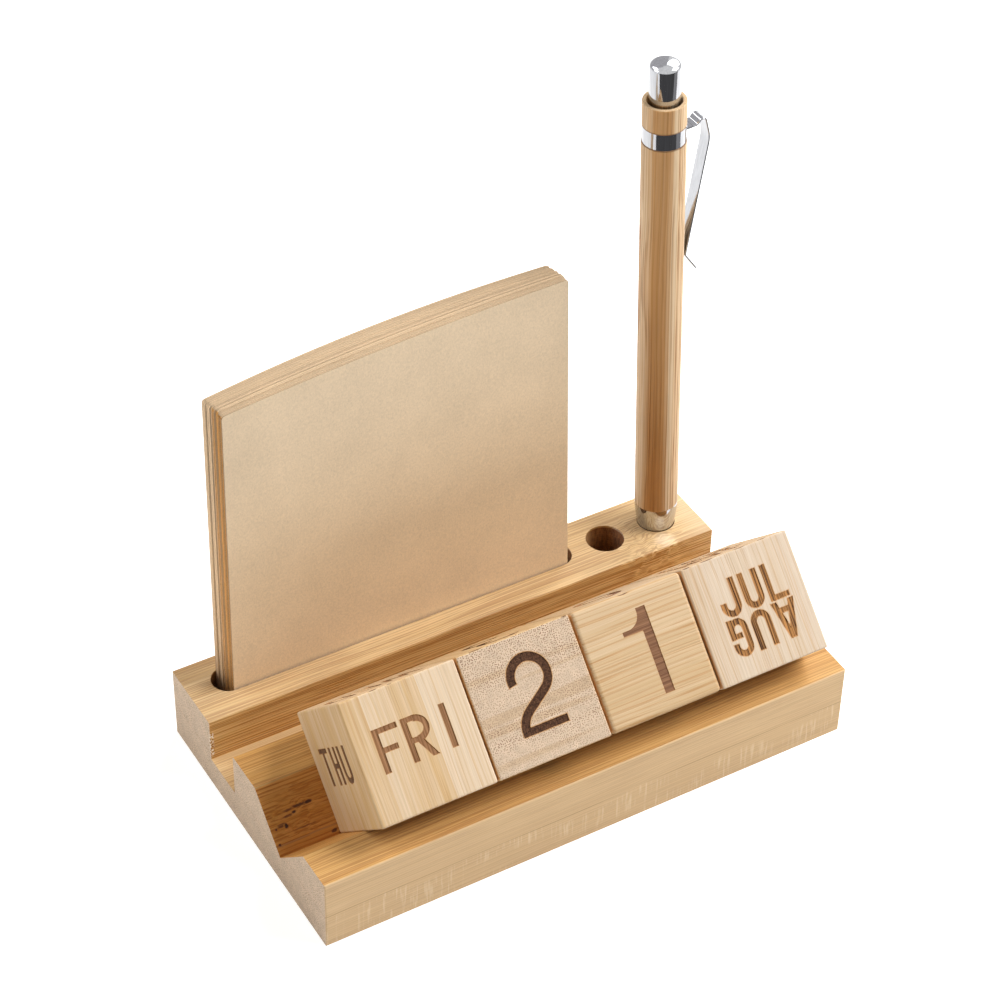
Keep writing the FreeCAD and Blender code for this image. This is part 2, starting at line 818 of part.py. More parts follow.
def make_refill():
    """Refill tube with a shoulder for the spring, and a brass tip whose ball seat is a right-angled cone."""
    tube_outer = size["refill_tube_radius"]
    tube_inner = tube_outer - size["refill_tube_wall"]
    tip_top = refill_bottom + size["refill_tip_length"]
    body = pen_body("pen_refill_tube")
    shoulder = size["spring_radius"] + size["spring_wire_radius"]
    shoulder_bottom = spring_top + size["glue_gap"]
    shoulder_top = shoulder_bottom + size["refill_shoulder_height"]
    revolve(
        body,
        [
            (tube_inner, tip_top),
            (tube_outer, tip_top),
            (tube_outer, shoulder_bottom),
            (shoulder, shoulder_bottom),
            (shoulder, shoulder_top),
            (tube_outer, shoulder_top),
            (tube_outer, refill_top),
            (tube_inner, refill_top),
        ],
    )
    tip = pen_body("pen_refill_tip")
    ball = size["refill_ball_radius"]
    seat_top = refill_bottom + ball + (ball + size["refill_ball_gap"]) * math.sqrt(2)
    mouth = size["refill_mouth_radius"]
    spigot = tube_inner - size["glue_gap"]
    spigot_top = tip_top + size["refill_spigot_length"]
    revolve(
        tip,
        [
            (0, seat_top),
            (mouth, seat_top - mouth),
            (size["refill_tip_radius"], refill_bottom + size["refill_taper_length"]),
            (size["refill_tip_radius"], tip_top),
            (spigot, tip_top),
            (spigot, spigot_top),
            (0, spigot_top),
        ],
    )
    return [body, tip]


def make_refill_ball():
    body = pen_body("pen_refill_ball")
    sphere = body.newObject("PartDesign::AdditiveSphere", "writing_ball")
    sphere.AttachmentSupport = [(plane_of(body, "XY_Plane"), "")]
    sphere.MapMode = "FlatFace"
    set_size(sphere, "Radius", size["refill_ball_radius"])
    set_size(sphere, "AttachmentOffset.Base.z", refill_bottom + size["refill_ball_radius"])
    return body


def make_spring():
    """Compression spring between the nose cone's seat and the refill's shoulder."""
    body = pen_body("pen_spring")
    wire = size["spring_wire_radius"]
    section = new_sketch(body, "spring_wire", "XZ_Plane")
    draw_circle(section, size["spring_radius"], spring_bottom + wire, wire, "wire")
    coil = body.newObject("PartDesign::AdditiveHelix", "spring_coil")
    coil.Profile = section
    coil.ReferenceAxis = (section, ["V_Axis"])
    coil.Mode = "height-turns-angle"
    set_size(coil, "Height", size["spring_length"] - wire * 2)
    set_size(coil, "Turns", size["spring_coils"])
    return body


def make_pen():
    bodies = [make_nose_cone()]
    bodies.append(
        tube(
            "pen_barrel",
            bamboo_bore,
            size["barrel_bottom_radius"],
            size["nose_shoulder"],
            ring_bottom,
            size["barrel_top_radius"],
        )
    )
    liner_bottom = size["nose_shoulder"] + size["glue_gap"]
    bodies.append(tube("pen_liner", liner_inner, size["liner_outer_radius"], liner_bottom, ring_top))
    bodies.append(make_ring())
    bodies.append(make_clip())
    bodies.append(make_collar())
    bodies.append(make_push_button())
    bodies.append(make_plunger())
    bodies.append(make_rotor())
    bodies.append(make_guide_sleeve())
    bodies.extend(make_refill())
    bodies.append(make_refill_ball())
    bodies.append(make_spring())
    return bodies


# ---------------------------------------------------------------- build, test and write


def check(parts):
    """Stop if any feature failed or any sub-part isn't one good solid."""
    doc.recompute()
    for thing in doc.Objects:
        if "Invalid" in thing.State or "Error" in thing.State:
            raise RuntimeError(f"{thing.Label} failed: {thing.State}")
    for part in parts:
        shape = part.Shape
        if shape.isNull() or not shape.isValid() or len(shape.Solids) != 1:
            raise RuntimeError(f"{part.Label} isn't one good solid")


def write(parts):
    os.makedirs("parts", exist_ok=True)
    for part in parts:
        part.Shape.exportStep(f"parts/{part.Label}.step")


parts = [make_base_block()]
parts += [make_cube(name, place) for place, name in enumerate(CUBE_NAMES)]
parts += make_memo_sheets()
parts += make_pen()
check(parts)
write(parts)
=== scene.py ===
"""Bamboo desk calendar: the looks of the block, the lettered cubes, the memo sheets and the pen.

Metres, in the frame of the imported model. Sizes named in millimetres are turned into metres with MM.
"""
import json
import math
from itertools import product

import bmesh
import bpy
from mathutils import Euler, Matrix, Quaternion, Vector
from mathutils.geometry import delaunay_2d_cdt
from mathutils.kdtree import KDTree


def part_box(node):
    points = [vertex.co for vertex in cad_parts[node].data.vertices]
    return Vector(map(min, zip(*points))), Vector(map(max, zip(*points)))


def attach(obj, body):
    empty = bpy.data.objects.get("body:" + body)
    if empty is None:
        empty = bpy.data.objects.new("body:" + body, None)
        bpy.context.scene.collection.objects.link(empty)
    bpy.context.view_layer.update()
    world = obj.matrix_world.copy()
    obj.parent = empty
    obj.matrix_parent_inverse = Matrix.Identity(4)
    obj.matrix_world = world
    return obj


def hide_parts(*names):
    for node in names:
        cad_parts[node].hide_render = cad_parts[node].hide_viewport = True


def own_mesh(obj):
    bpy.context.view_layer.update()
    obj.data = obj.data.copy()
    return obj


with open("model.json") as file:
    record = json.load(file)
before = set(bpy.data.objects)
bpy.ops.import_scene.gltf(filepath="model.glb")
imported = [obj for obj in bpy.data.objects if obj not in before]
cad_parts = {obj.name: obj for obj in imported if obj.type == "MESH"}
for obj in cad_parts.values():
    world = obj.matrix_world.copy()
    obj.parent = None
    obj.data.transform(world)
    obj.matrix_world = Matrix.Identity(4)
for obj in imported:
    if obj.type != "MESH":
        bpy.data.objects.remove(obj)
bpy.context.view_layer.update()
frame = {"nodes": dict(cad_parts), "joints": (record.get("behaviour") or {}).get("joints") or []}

bl_info = {
    "name": "Bamboo desk calendar",
    "version": (1, 0, 0),
    "blender": (4, 5, 0),
    "location": "View3D > Sidebar > Desk calendar",
    "description": "Dresses a grooved bamboo desk calendar with its cubes, memo sheets and pen",
    "category": "Object",
}

MM = 0.001


def box_middle(node):
    """The middle of a node's box, in metres."""
    low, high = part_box(node)
    return (Vector(low) + Vector(high)) / 2


def added(name, data):
    """A new object in the scene: a mesh, a lamp or a camera."""
    thing = bpy.data.objects.new(name, data)
    bpy.context.scene.collection.objects.link(thing)
    return thing


def drawn(name, bm):
    """The mesh that a bmesh holds."""
    mesh = bpy.data.meshes.new(name)
    bm.to_mesh(mesh)
    bm.free()
    return mesh


def wrapped(items):
    """Each item with the one after it, and the last with the first."""
    return zip(items, items[1:] + items[:1])


def cut_up(low, high, count):
    """Places from low to high in equal steps, both ends included."""
    return [low + (high - low) * i / count for i in range(count + 1)]


# ---------------------------------------------------------------- node trees


def math_pair(operation):
    """The plain and the reflected method of a value that add one Math node."""

    def plain(self, other):
        return self.math(operation, self, other)

    def reflected(self, other):
        return self.math(operation, other, self)

    return plain, reflected


class Value:
    """An output socket; arithmetic on it adds Math nodes."""

    __add__, __radd__ = math_pair("ADD")
    __sub__, __rsub__ = math_pair("SUBTRACT")
    __mul__, __rmul__ = math_pair("MULTIPLY")
    __truediv__, __rtruediv__ = math_pair("DIVIDE")
    __pow__, __rpow__ = math_pair("POWER")

    def __init__(self, kit, socket):
        self.kit = kit
        self.socket = socket

    def math(self, operation, *operands):
        return self.kit.node("ShaderNodeMath", {"operation": operation}, dict(enumerate(operands)))

    def __neg__(self):
        return self * -1.0

    def __abs__(self):
        return self.math("ABSOLUTE", self)

    def floor(self):
        return self.math("FLOOR", self)

    def fraction(self):
        return self.math("FRACT", self)

    def clamped(self):
        return self.math("MINIMUM", self.math("MAXIMUM", self, 0.0), 1.0)

    def above(self, low, high):
        """0 under low, 1 over high and smooth between."""
        inputs = {"Value": self, "From Min": low, "From Max": high}
        return self.kit.node("ShaderNodeMapRange", {"interpolation_type": "SMOOTHSTEP"}, inputs)

    def below(self, low, high):
        """1 under low, 0 over high and smooth between."""
        return 1.0 - self.above(low, high)


class Tree:
    """A node tree being built."""

    def __init__(self, tree):
        self.tree = tree

    def node(self, kind, settings=None, inputs=None, output=0):
        """Adds a node: its settings first, then the values or links of its inputs."""
        made = self.tree.nodes.new(kind)
        for name, value in (settings or {}).items():
            if name == "stops":
                self.fill_ramp(made.color_ramp, value)
            elif name == "blend":
                made.color_ramp.interpolation = value
            elif name == "items":
                while len(made.index_switch_items) < value:
                    made.index_switch_items.new()
            else:
                setattr(made, name, value)
        for key, value in (inputs or {}).items():
            if isinstance(value, Value):
                self.tree.links.new(value.socket, made.inputs[key])
            else:
                made.inputs[key].default_value = value
        return Value(self, made.outputs[output]) if made.outputs else made

    @staticmethod
    def fill_ramp(ramp, stops):
        """Stops are (place, level)."""
        while len(ramp.elements) < len(stops):
            ramp.elements.new(1.0)
        for element, (place, level) in zip(ramp.elements, stops):
            element.position = place
            element.color = (level, level, level, 1.0)

    def split(self, vector):
        """The three numbers of a vector."""
        parts = self.tree.nodes.new("ShaderNodeSeparateXYZ")
        self.tree.links.new(vector.socket, parts.inputs[0])
        return [Value(self, socket) for socket in parts.outputs]

    def joined(self, x, y, z):
        return self.node("ShaderNodeCombineXYZ", {}, {0: x, 1: y, 2: z})


class Finish(Tree):
    """A material's tree, with the few mixes that the finishes share."""

    def __init__(self, name):
        self.material = bpy.data.materials.new(name)
        self.material.use_nodes = True
        super().__init__(self.material.node_tree)
        self.tree.nodes.clear()

    def millimetres(self, place=(0, 0, 0), turn=(0, 0, 0)):
        """Object coordinates in millimetres, in a frame that stands at place and is turned."""
        here = self.node("ShaderNodeTexCoord", {}, {}, "Object")
        settings = {"vector_type": "TEXTURE"}
        inputs = {"Vector": here, "Location": place, "Rotation": turn, "Scale": (MM, MM, MM)}
        return self.node("ShaderNodeMapping", settings, inputs)

    def cloud(self, vector, scale=1.0, detail=2.0, roughness=0.5):
        """Noise between about 0.25 and 0.75."""
        inputs = {"Vector": vector, "Scale": scale, "Detail": detail, "Roughness": roughness}
        return self.node("ShaderNodeTexNoise", {}, inputs)

    def grain(self, parts, scales, detail=2.0, roughness=0.5):
        """Noise that each scale stretches along its own part; a scale of 0 leaves that part out."""
        scaled = [part * scale if scale else 0.0 for part, scale in zip(parts, scales)]
        return self.cloud(self.joined(*scaled), 1.0, detail, roughness)

    def attribute(self, name):
        return self.node("ShaderNodeAttribute", {"attribute_name": name}, {}, "Fac")

    def facing(self):
        """The surface's own direction, as a vector."""
        return self.node("ShaderNodeTexCoord", {}, {}, "Normal")

    def measure(self, operation, first, second=(0.0, 0.0, 0.0)):
        """A Vector Math node that gives a number."""
        return self.node("ShaderNodeVectorMath", {"operation": operation}, {0: first, 1: second}, 1)

    def mix(self, factor, first, second, blend="MIX"):
        settings = {"data_type": "RGBA", "blend_type": blend, "clamp_factor": True}
        first, second = (v if isinstance(v, Value) else (*v, 1.0) for v in (first, second))
        return self.node("ShaderNodeMix", settings, {0: factor, 6: first, 7: second}, 2)

    def scaled(self, colour, factor):
        """A colour made lighter or darker by a number."""
        return self.node("ShaderNodeVectorMath", {"operation": "SCALE"}, {0: colour, 3: factor})

    def bump(self, height, distance, strength=1.0):
        inputs = {"Height": height, "Distance": distance, "Strength": strength}
        return self.node("ShaderNodeBump", {}, inputs)

    def surface(self, **inputs):
        """Ends the tree in a Principled shader."""
        named = {name.replace("_", " "): value for name, value in inputs.items()}
        for name, value in named.items():
            if isinstance(value, tuple) and len(value) == 3:
                named[name] = (*value, 1.0)
        shader = self.node("ShaderNodeBsdfPrincipled", {}, named)
        self.node("ShaderNodeOutputMaterial", {}, {"Surface": shader})
        return self.material


def wear(node, material):
    """Gives a CAD node one finish."""
    thing = frame["nodes"][node]
    if not thing.material_slots:
        thing.data.materials.append(material)
    for slot in thing.material_slots:
        slot.material = material


# ---------------------------------------------------------------- bamboo

GRAIN_ORDER = {"x": (0, 1, 2), "y": (1, 0, 2), "z": (2, 0, 1)}
CHIP = (0.085, 0.032, 0.018)
SCORCH_RIM = (0.50, 0.22, 0.045)


class Bamboo(Finish):
    """Laminated bamboo: strips glued side by side, with fibre bundles that run along the grain.

    strips are (edge in mm, tone) across the glue layers, with tone 0 for pale and 1 for honey. dot_bands are
    (share of the width, level) of the dots on the end grain, and end_bands is a tint and its strength there.
    """

    def __init__(self, name, grain, strips, pale, honey, line, end, end_dot, place=(0, 0, 0), turn=(0, 0, 0),
                 bundle_size=0.75, line_strength=0.7, line_pitch=1.0, hairlines=0.55,
                 hair_tint=(0.46, 0.235, 0.07), dots=0.75, dot_bands=None, knots=(), mottle=1.0,
                 line_reach=(0.10, 0.40), crowd_low=0.3, rare_from=0.36, dim=0.55, end_bands=None):
        super().__init__(name)
        self.here = self.millimetres(place, turn)
        self.parts = self.split(self.here)
        along, across, deep = straight = [self.parts[i] for i in GRAIN_ORDER[grain]]
        drift = self.grain(straight, (0.018, 0.07, 0.07), 1.0) - 0.5
        across_bent = across + drift * 2.2
        deep_bent = deep + drift * -1.6
        knot = None
        for point, radius, strength in knots:
            near = (1.0 - self.distance(point) / radius).above(0.0, 0.8) * strength
            knot = near if knot is None else knot + near
        if knot is not None:
            swirl = self.grain(straight, (0.17, 0.26, 0.26), 1.0) - 0.5
            across_bent = across_bent + swirl * knot * 6.0
            deep_bent = deep_bent + swirl * knot * -4.0
        bent = (along, across_bent, deep_bent)
        self.along, self.deep = along, deep_bent
        # fibre bundles: dots on the end grain, lines along the sides
        away = self.node(
            "ShaderNodeTexVoronoi", {"voronoi_dimensions": "2D", "feature": "F1"},
            {"Vector": self.joined(across_bent, deep_bent, 0.0), "Scale": 1.0 / bundle_size,
             "Randomness": 0.7}, "Distance",
        )
        fade = self.grain(bent, (0.05, 0.9, 0.9), 2.0)
        crowd = self.grain(bent, (0.004, 0.22, 0.22), 1.0)
        spread = crowd.above(0.30, 0.56) * (1.0 - crowd_low) + crowd_low
        self.line = away.below(*line_reach) * fade.above(0.30, 0.50) * spread
        # broad tones, fine fibres and hairlines
        broad = self.grain(bent, (0.010, 0.42, 0.42), 2.0)
        self.thin = self.grain(bent, (0.018, 1.7, 1.7), 3.0, 0.62)
        self.fine = self.grain(bent, (0.06, 5.5, 5.5), 3.0, 0.65)
        rare = self.grain(bent, (0.022, 1.1, 1.1), 2.0)
        normal = self.facing()
        self.normal = self.split(normal)
        level = self.slant(normal, GRAIN_ORDER[grain][2], turn).above(0.45, 0.85)
        bend = (self.thin - 0.5) * line_pitch * 1.5
        by_across = self.wave((across_bent + bend) / line_pitch)
        by_deep = self.wave((deep_bent + bend) / line_pitch)
        self.hair = (by_across * level + by_deep * (1.0 - level)) * rare.above(rare_from, rare_from + 0.20)
        self.reach = (strips[0][0], strips[-1][0])
        first, last = self.reach
        stops = [((edge - first) / (last - first), tone) for edge, tone in strips]
        layer = self.ramp(across + drift * 0.7, stops, "CONSTANT")
        self.warm = (layer + ((broad - 0.5) * 1.5 + (self.thin - 0.5) * 1.1) * mottle).clamped()
        colour = self.mix(self.warm, pale, honey)
        colour = self.mix(self.hair * hairlines, colour, hair_tint)
        colour = self.mix(self.line * line_strength, colour, line)
        side = self.scaled(colour, 1.0 + (self.fine - 0.5) * dim * mottle)
        # the end grain is duller and dotted
        self.ending = self.slant(normal, GRAIN_ORDER[grain][0], turn).above(0.72, 0.93)
        speck = self.grain(straight, (0.6, 3.2, 3.2), 3.0, 0.7)
        strength = crowd.above(0.30, 0.66) * 0.5 + 0.5
        if dot_bands:
            strength = strength * self.ramp(deep + across * 0.04 + drift * 2.0, dot_bands, "LINEAR")
        self.dot = away.below(0.13, 0.40) * strength
        halo = away.above(0.30, 0.42) * away.below(0.42, 0.62)
        shade = 0.90 + (speck - 0.5) * 0.62 + halo * strength * 0.16 + (broad - 0.5) * 0.35
        if end_bands:
            tan, amount = end_bands
            band = self.cloud(self.joined(along * 0.01, across * 0.012 + 7.3, deep * 0.33), 1.0, 1.0)
            end = self.mix(band.above(0.50, 0.60) * amount, end, tan)
        cut = self.mix((self.dot * dots).clamped(), self.scaled(end, shade), end_dot)
        self.colour = self.mix(self.ending, side, cut)
        self.rough = 0.52 + (self.fine - 0.5) * 0.3 + self.line * 0.12 + self.ending * 0.15
        self.height = self.fine * 0.35 - self.line * 0.5 - self.dot * self.ending * 0.6

    def distance(self, point):
        return self.measure("DISTANCE", self.here, point)

    def ramp(self, place, stops, blend):
        """A grey ramp from the first strip's edge to the last one's."""
        first, last = self.reach
        share = (place - first) / (last - first)
        grey = self.node("ShaderNodeValToRGB", {"stops": stops, "blend": blend}, {0: share})
        return self.split(grey)[0]

    def slant(self, normal, number, turn):
        """How squarely a surface faces along one of the wood's own axes."""
        axis = Vector([1.0 if i == number else 0.0 for i in range(3)])
        axis.rotate(Euler(turn))
        return abs(self.measure("DOT_PRODUCT", normal, axis))

    def wave(self, turns):
        """A thin dark line for each whole number."""
        return (abs(turns.fraction() - 0.5) * 2.0).above(0.50, 0.96)

    def paint(self, factor, tint, blend="MIX"):
        """Lays a tint over what is there."""
        self.colour = self.mix(factor, self.colour, tint, blend)

    def stain(self, factor, tint):
        """Multiplies what is there by a tint."""
        self.paint(factor, tint, "MULTIPLY")

    def lighten(self, factor):
        """Makes what is there lighter by a share."""
        self.colour = self.scaled(self.colour, 1.0 + factor)

    def burn(self, dark, light, rim, ragged, grit, painted_left_shade=1.0):
        """Burnt letters, charred along the fibres."""
        uneven = self.attribute("letter_edge") + (self.fine - 0.5) * ragged + (self.thin - 0.5) * ragged
        inside = uneven.below(-0.06, 0.05)
        self.paint(uneven.below(0.0, rim) * 0.8, SCORCH_RIM)
        char = 0.5 + (self.fine - 0.5) * grit * 0.7 + (self.thin - 0.5) * grit * 1.3 - self.hair * 0.15
        char = (char.clamped() + self.dot * self.ending * 0.9).clamped()
        ash = self.mix(char, dark, light)
        # painted shade: on the faces that look left the letters are painted darker
        leftward = (-self.normal[0]).above(0.6, 0.9)
        self.paint(inside, self.scaled(ash, 1.0 - leftward * (1.0 - painted_left_shade)))
        self.rough = self.rough + inside * 0.25

    def tear(self, chips):
        """Torn fibres along the edges: middles and half lengths in mm."""
        fray = self.grain(self.parts, (1.4, 4.0, 4.0), 3.0, 0.65)
        for middle, lengths, _ in chips:
            away = self.spindle(middle, *lengths)
            self.paint((1.0 - away + (fray - 0.5) * 0.8).above(0.0, 0.25), CHIP)

    def spindle(self, middle, length, width):
        """0 at a middle and 1 on a spindle round it: half length along x and half width, in mm."""
        x, y, z = (part - at for part, at in zip(self.parts, middle))
        return (x / length) ** 2 + (y ** 2 + z ** 2) / width ** 2

    def done(self):
        return self.surface(
            Base_Color=self.colour, Roughness=self.rough.clamped(), Specular_IOR_Level=0.22,
            Normal=self.bump(self.height, 0.00012, 0.6),
        )


# painted reflected light: how much warmer the paper's face is painted near the wood
PAINTED_WOOD_BOUNCE = (1.17, 1.12, 1.04)


def kraft(name, tint, edge_tint, painted_shade_tint):
    """Brown memo paper: a felt of fibres on the faces, cut edges with a tone for each sheet, and painted
    shade and light.
    """
    kit = Finish(name)
    here = kit.millimetres()
    parts = kit.split(here)
    height = parts[2]
    felt = kit.cloud(here, 1.9, 4.0, 0.7)
    hair = kit.grain(parts, (3.4, 3.4, 1.5), 2.0, 0.6)
    blotch = kit.cloud(here, 0.05, 3.0, 0.6)
    tone = kit.attribute("sheet_tone")
    order = kit.attribute("order")
    normal = kit.split(kit.facing())
    front = abs(normal[1]).above(0.6, 0.85)
    sideways = abs(normal[0]).above(0.5, 0.8)
    # the cut side edges: painted shade on the left sides of the front sheets, less on their right sides, and
    # dark lines of painted shade for the gaps between the sheets
    painted_shade_side = (-normal[0]).above(0.5, 0.8) + normal[0].above(0.5, 0.8) * 0.3
    rear = order.above(0.50, 0.62)
    edge = kit.mix(painted_shade_side * (1.0 - rear), edge_tint, painted_shade_tint)
    gap = tone.below(0.12, 0.42)
    # each sheet's tone differs at random; painted light: the side edges are lighter, the rear sheets' most
    edge = kit.scaled(edge, 0.93 + (tone - 0.5) * 0.55 + sideways * (rear * 0.40 + 0.15))
    edge = kit.mix(gap * sideways * (0.85 - rear * 0.55), edge, (0.17, 0.07, 0.022))
    # painted shade: the side edges darker towards the block, and the top edges darker
    low = sideways * height.below(20.0, 36.0)
    edge = kit.scaled(edge, 1.0 - normal[2].above(0.6, 0.9) * 0.13 - low * 0.32)
    # painted reflected light: the face is tinted warmer, as if lit by the wood, most at its foot
    painted_bounce_tint = tuple(min(1.0, part * glow) for part, glow in zip(tint, PAINTED_WOOD_BOUNCE))
    colour = kit.mix(front, edge, kit.mix(height.below(28.0, 100.0), tint, painted_bounce_tint))
    shade = 1.0 + (felt - 0.5) * 0.42 + (hair - 0.5) * 0.30 + (blotch - 0.5) * 0.24
    colour = kit.mix(hair.above(0.64, 0.76) * 0.3, kit.scaled(colour, shade), (0.46, 0.31, 0.18))
    return kit.surface(
        Base_Color=colour, Roughness=0.88, Specular_IOR_Level=0.2,
        Normal=kit.bump(felt * 0.6 + hair * 0.4, 0.00005, 0.5),
    )


def metal(name, tint, roughness, scratch=0.06):
    """Bright metal with faint wipe marks."""
    kit = Finish(name)
    parts = kit.split(kit.millimetres())
    wipe = kit.grain(parts, (1.2, 1.2, 0.25), 3.0, 0.6)
    mark = kit.grain(parts, (9.0, 9.0, 0.6), 2.0)
    rough = roughness + (wipe - 0.5) * scratch * 1.5 + mark.above(0.62, 0.75) * scratch
    streak = kit.grain(parts, (2.6, 2.6, 0.10), 3.0, 0.6)
    colour = kit.scaled(kit.mix(wipe, tint, tuple(part * 0.93 for part in tint)), 1.0 + (streak - 0.5) * 0.5)
    return kit.surface(
        Base_Color=colour, Metallic=1.0, Roughness=rough.clamped(), Normal=kit.bump(mark, 0.00001, 0.2)
    )


def plastic(name, tint, roughness, clear=0.0):
    """Moulded plastic with flow marks."""
    kit = Finish(name)
    here = kit.millimetres()
    flow = kit.cloud(here, 0.5, 3.0)
    grit = kit.cloud(here, 6.0, 2.0)
    colour = kit.mix(flow, tint, tuple(part * 0.85 for part in tint))
    rough = roughness + (grit - 0.5) * 0.2
    return kit.surface(
        Base_Color=colour, Roughness=rough.clamped(), Coat_Weight=clear, Normal=kit.bump(grit, 0.00001, 0.3)
    )


# ---------------------------------------------------------------- lettering

# Each glyph is its width in cap heights and its strokes, whose places run from 0 to 1 between the
# middles of the outermost strokes. rise is cut level at its ends, bar is level, line is cut square, flag
# is the 1's and bow is part of an ellipse: middle, half width, half height, start and end in degrees.
STEM = "rise 0 0 0 1"
BOTH = f"{STEM} rise 1 0 1 1"
ROUND = "bow 0.5 0.68 0.5 0.32 0 180 bow 0.5 0.32 0.5 0.32 180 360"
SIDES = "rise 0 0.32 0 0.68 rise 1 0.32 1 0.68"
UPPER_BOWL = "bar 1 0 0.45 bar 0.46 0 0.45 bow 0.45 0.73 0.55 0.27 -90 90"
GLYPHS = {
    "A": "0.68 rise 0 0 0.48 1 rise 1 0 0.52 1 bar 0.2 0.24 0.76",
    "B": f"0.58 rise 0 0 0 1 {UPPER_BOWL} bar 0 0 0.45 bow 0.45 0.23 0.55 0.23 -90 90",
    "C": "0.58 bow 0.5 0.72 0.5 0.28 8 180 rise 0 0.28 0 0.72 bow 0.5 0.28 0.5 0.28 180 352",
    "D": f"0.6 {STEM} bar 1 0 0.4 bar 0 0 0.4 bow 0.4 0.68 0.6 0.32 0 90 rise 1 0.32 1 0.68 "
         "bow 0.4 0.32 0.6 0.32 -90 0",
    "E": f"0.56 {STEM} bar 1 0 1 bar 0.5 0 0.8 bar 0 0 1",
    "F": f"0.61 {STEM} bar 1 0 1 bar 0.5 0 0.76",
    "G": "0.55 bow 0.5 0.75 0.5 0.25 0 180 rise 1 0.66 1 0.75 rise 0 0.25 0 0.75 "
         "bow 0.5 0.25 0.5 0.25 180 360 rise 1 0 1 0.48 bar 0.44 0.55 1",
    "H": f"0.5 {BOTH} bar 0.5 0 1",
    "I": "0.62 rise 0.5 0 0.5 1",
    "J": "0.58 rise 1 0.26 1 1 bow 0.5 0.26 0.5 0.26 180 360 rise 0 0.26 0 0.38",
    "L": f"0.58 {STEM} bar 0 0 1",
    "M": f"0.76 {BOTH} rise 0 1 0.5 0.2 rise 1 1 0.5 0.2",
    "N": f"0.6 {BOTH} rise 0 1 1 0",
    "O": f"0.6 {ROUND} {SIDES}",
    "P": f"0.58 rise 0 0 0 1 {UPPER_BOWL}",
    "R": f"0.62 rise 0 0 0 1 {UPPER_BOWL} rise 0.42 0.5 1 0",
    "S": "0.56 bow 0.5 0.75 0.5 0.25 15 270 bow 0.5 0.25 0.5 0.25 -165 90",
    "T": "0.62 bar 1 0 1 rise 0.5 0 0.5 1",
    "U": "0.57 rise 0 0.26 0 1 rise 1 0.26 1 1 bow 0.5 0.26 0.5 0.26 180 360",
    "V": "0.66 rise 0 1 0.48 0 rise 1 1 0.52 0",
    "W": "0.95 rise 0 1 0.25 0 rise 0.5 1 0.25 0 rise 0.5 1 0.75 0 rise 1 1 0.75 0",
    "Y": "0.66 rise 0 1 0.5 0.42 rise 1 1 0.5 0.42 rise 0.5 0 0.5 0.5",
    "0": f"0.62 {ROUND} {SIDES}",
    "1": "0.365 rise 1 0 1 1 flag 0.741 0.797 0.168",
    "2": "0.645 bow 0.528 0.719 0.474 0.284 -56.5 190.5 line 0.79 0.482 0.241 0.264 "
         "bow 0.543 -0.009 0.546 0.327 123.5 180 bar 0 0 1",
    "3": "0.62 bow 0.47 0.76 0.45 0.24 -90 160 bow 0.5 0.26 0.5 0.26 -160 90",
    "4": "0.66 rise 0.78 0 0.78 1 bar 0.2 0 1 rise 0.02 0.16 0.76 1",
    "5": "0.62 bar 1 0.1 0.92 rise 0.1 0.5 0.1 1 bow 0.5 0.31 0.5 0.31 -160 135",
    "6": "0.62 bow 0.5 0.3 0.5 0.3 0 360 bow 0.98 0.32 0.98 0.68 105 178",
    "7": "0.6 bar 1 0 1 rise 0.28 0 1 0.98",
    "8": "0.62 bow 0.5 0.27 0.5 0.27 0 360 bow 0.5 0.77 0.42 0.23 0 360",
}
# A bar's thickness as a share of the pen's width, and the bow's step in degrees.
BAR_SHARE = 0.84
BOW_STEP = 9.0
# Where the mesh is cut, in mm outside the letters: round them, on their edge and where they are deep.
LEVELS = (0.32, 0.0, -0.13)
OUTLINE_STEP = 0.4
JOINT_GAP = 0.02
BORDER_SHARES = (0.0, 0.25, 0.5, 0.75)
ON_BORDER = 1e-3
MITRE_LIMIT = 0.5


def glyph(letter):
    """The width and the strokes of a letter or figure."""
    width, *words = GLYPHS[letter].split()
    strokes = []
    for word in words:
        if word.isalpha():
            strokes.append([word])
        else:
            strokes[-1].append(float(word))
    return float(width), strokes


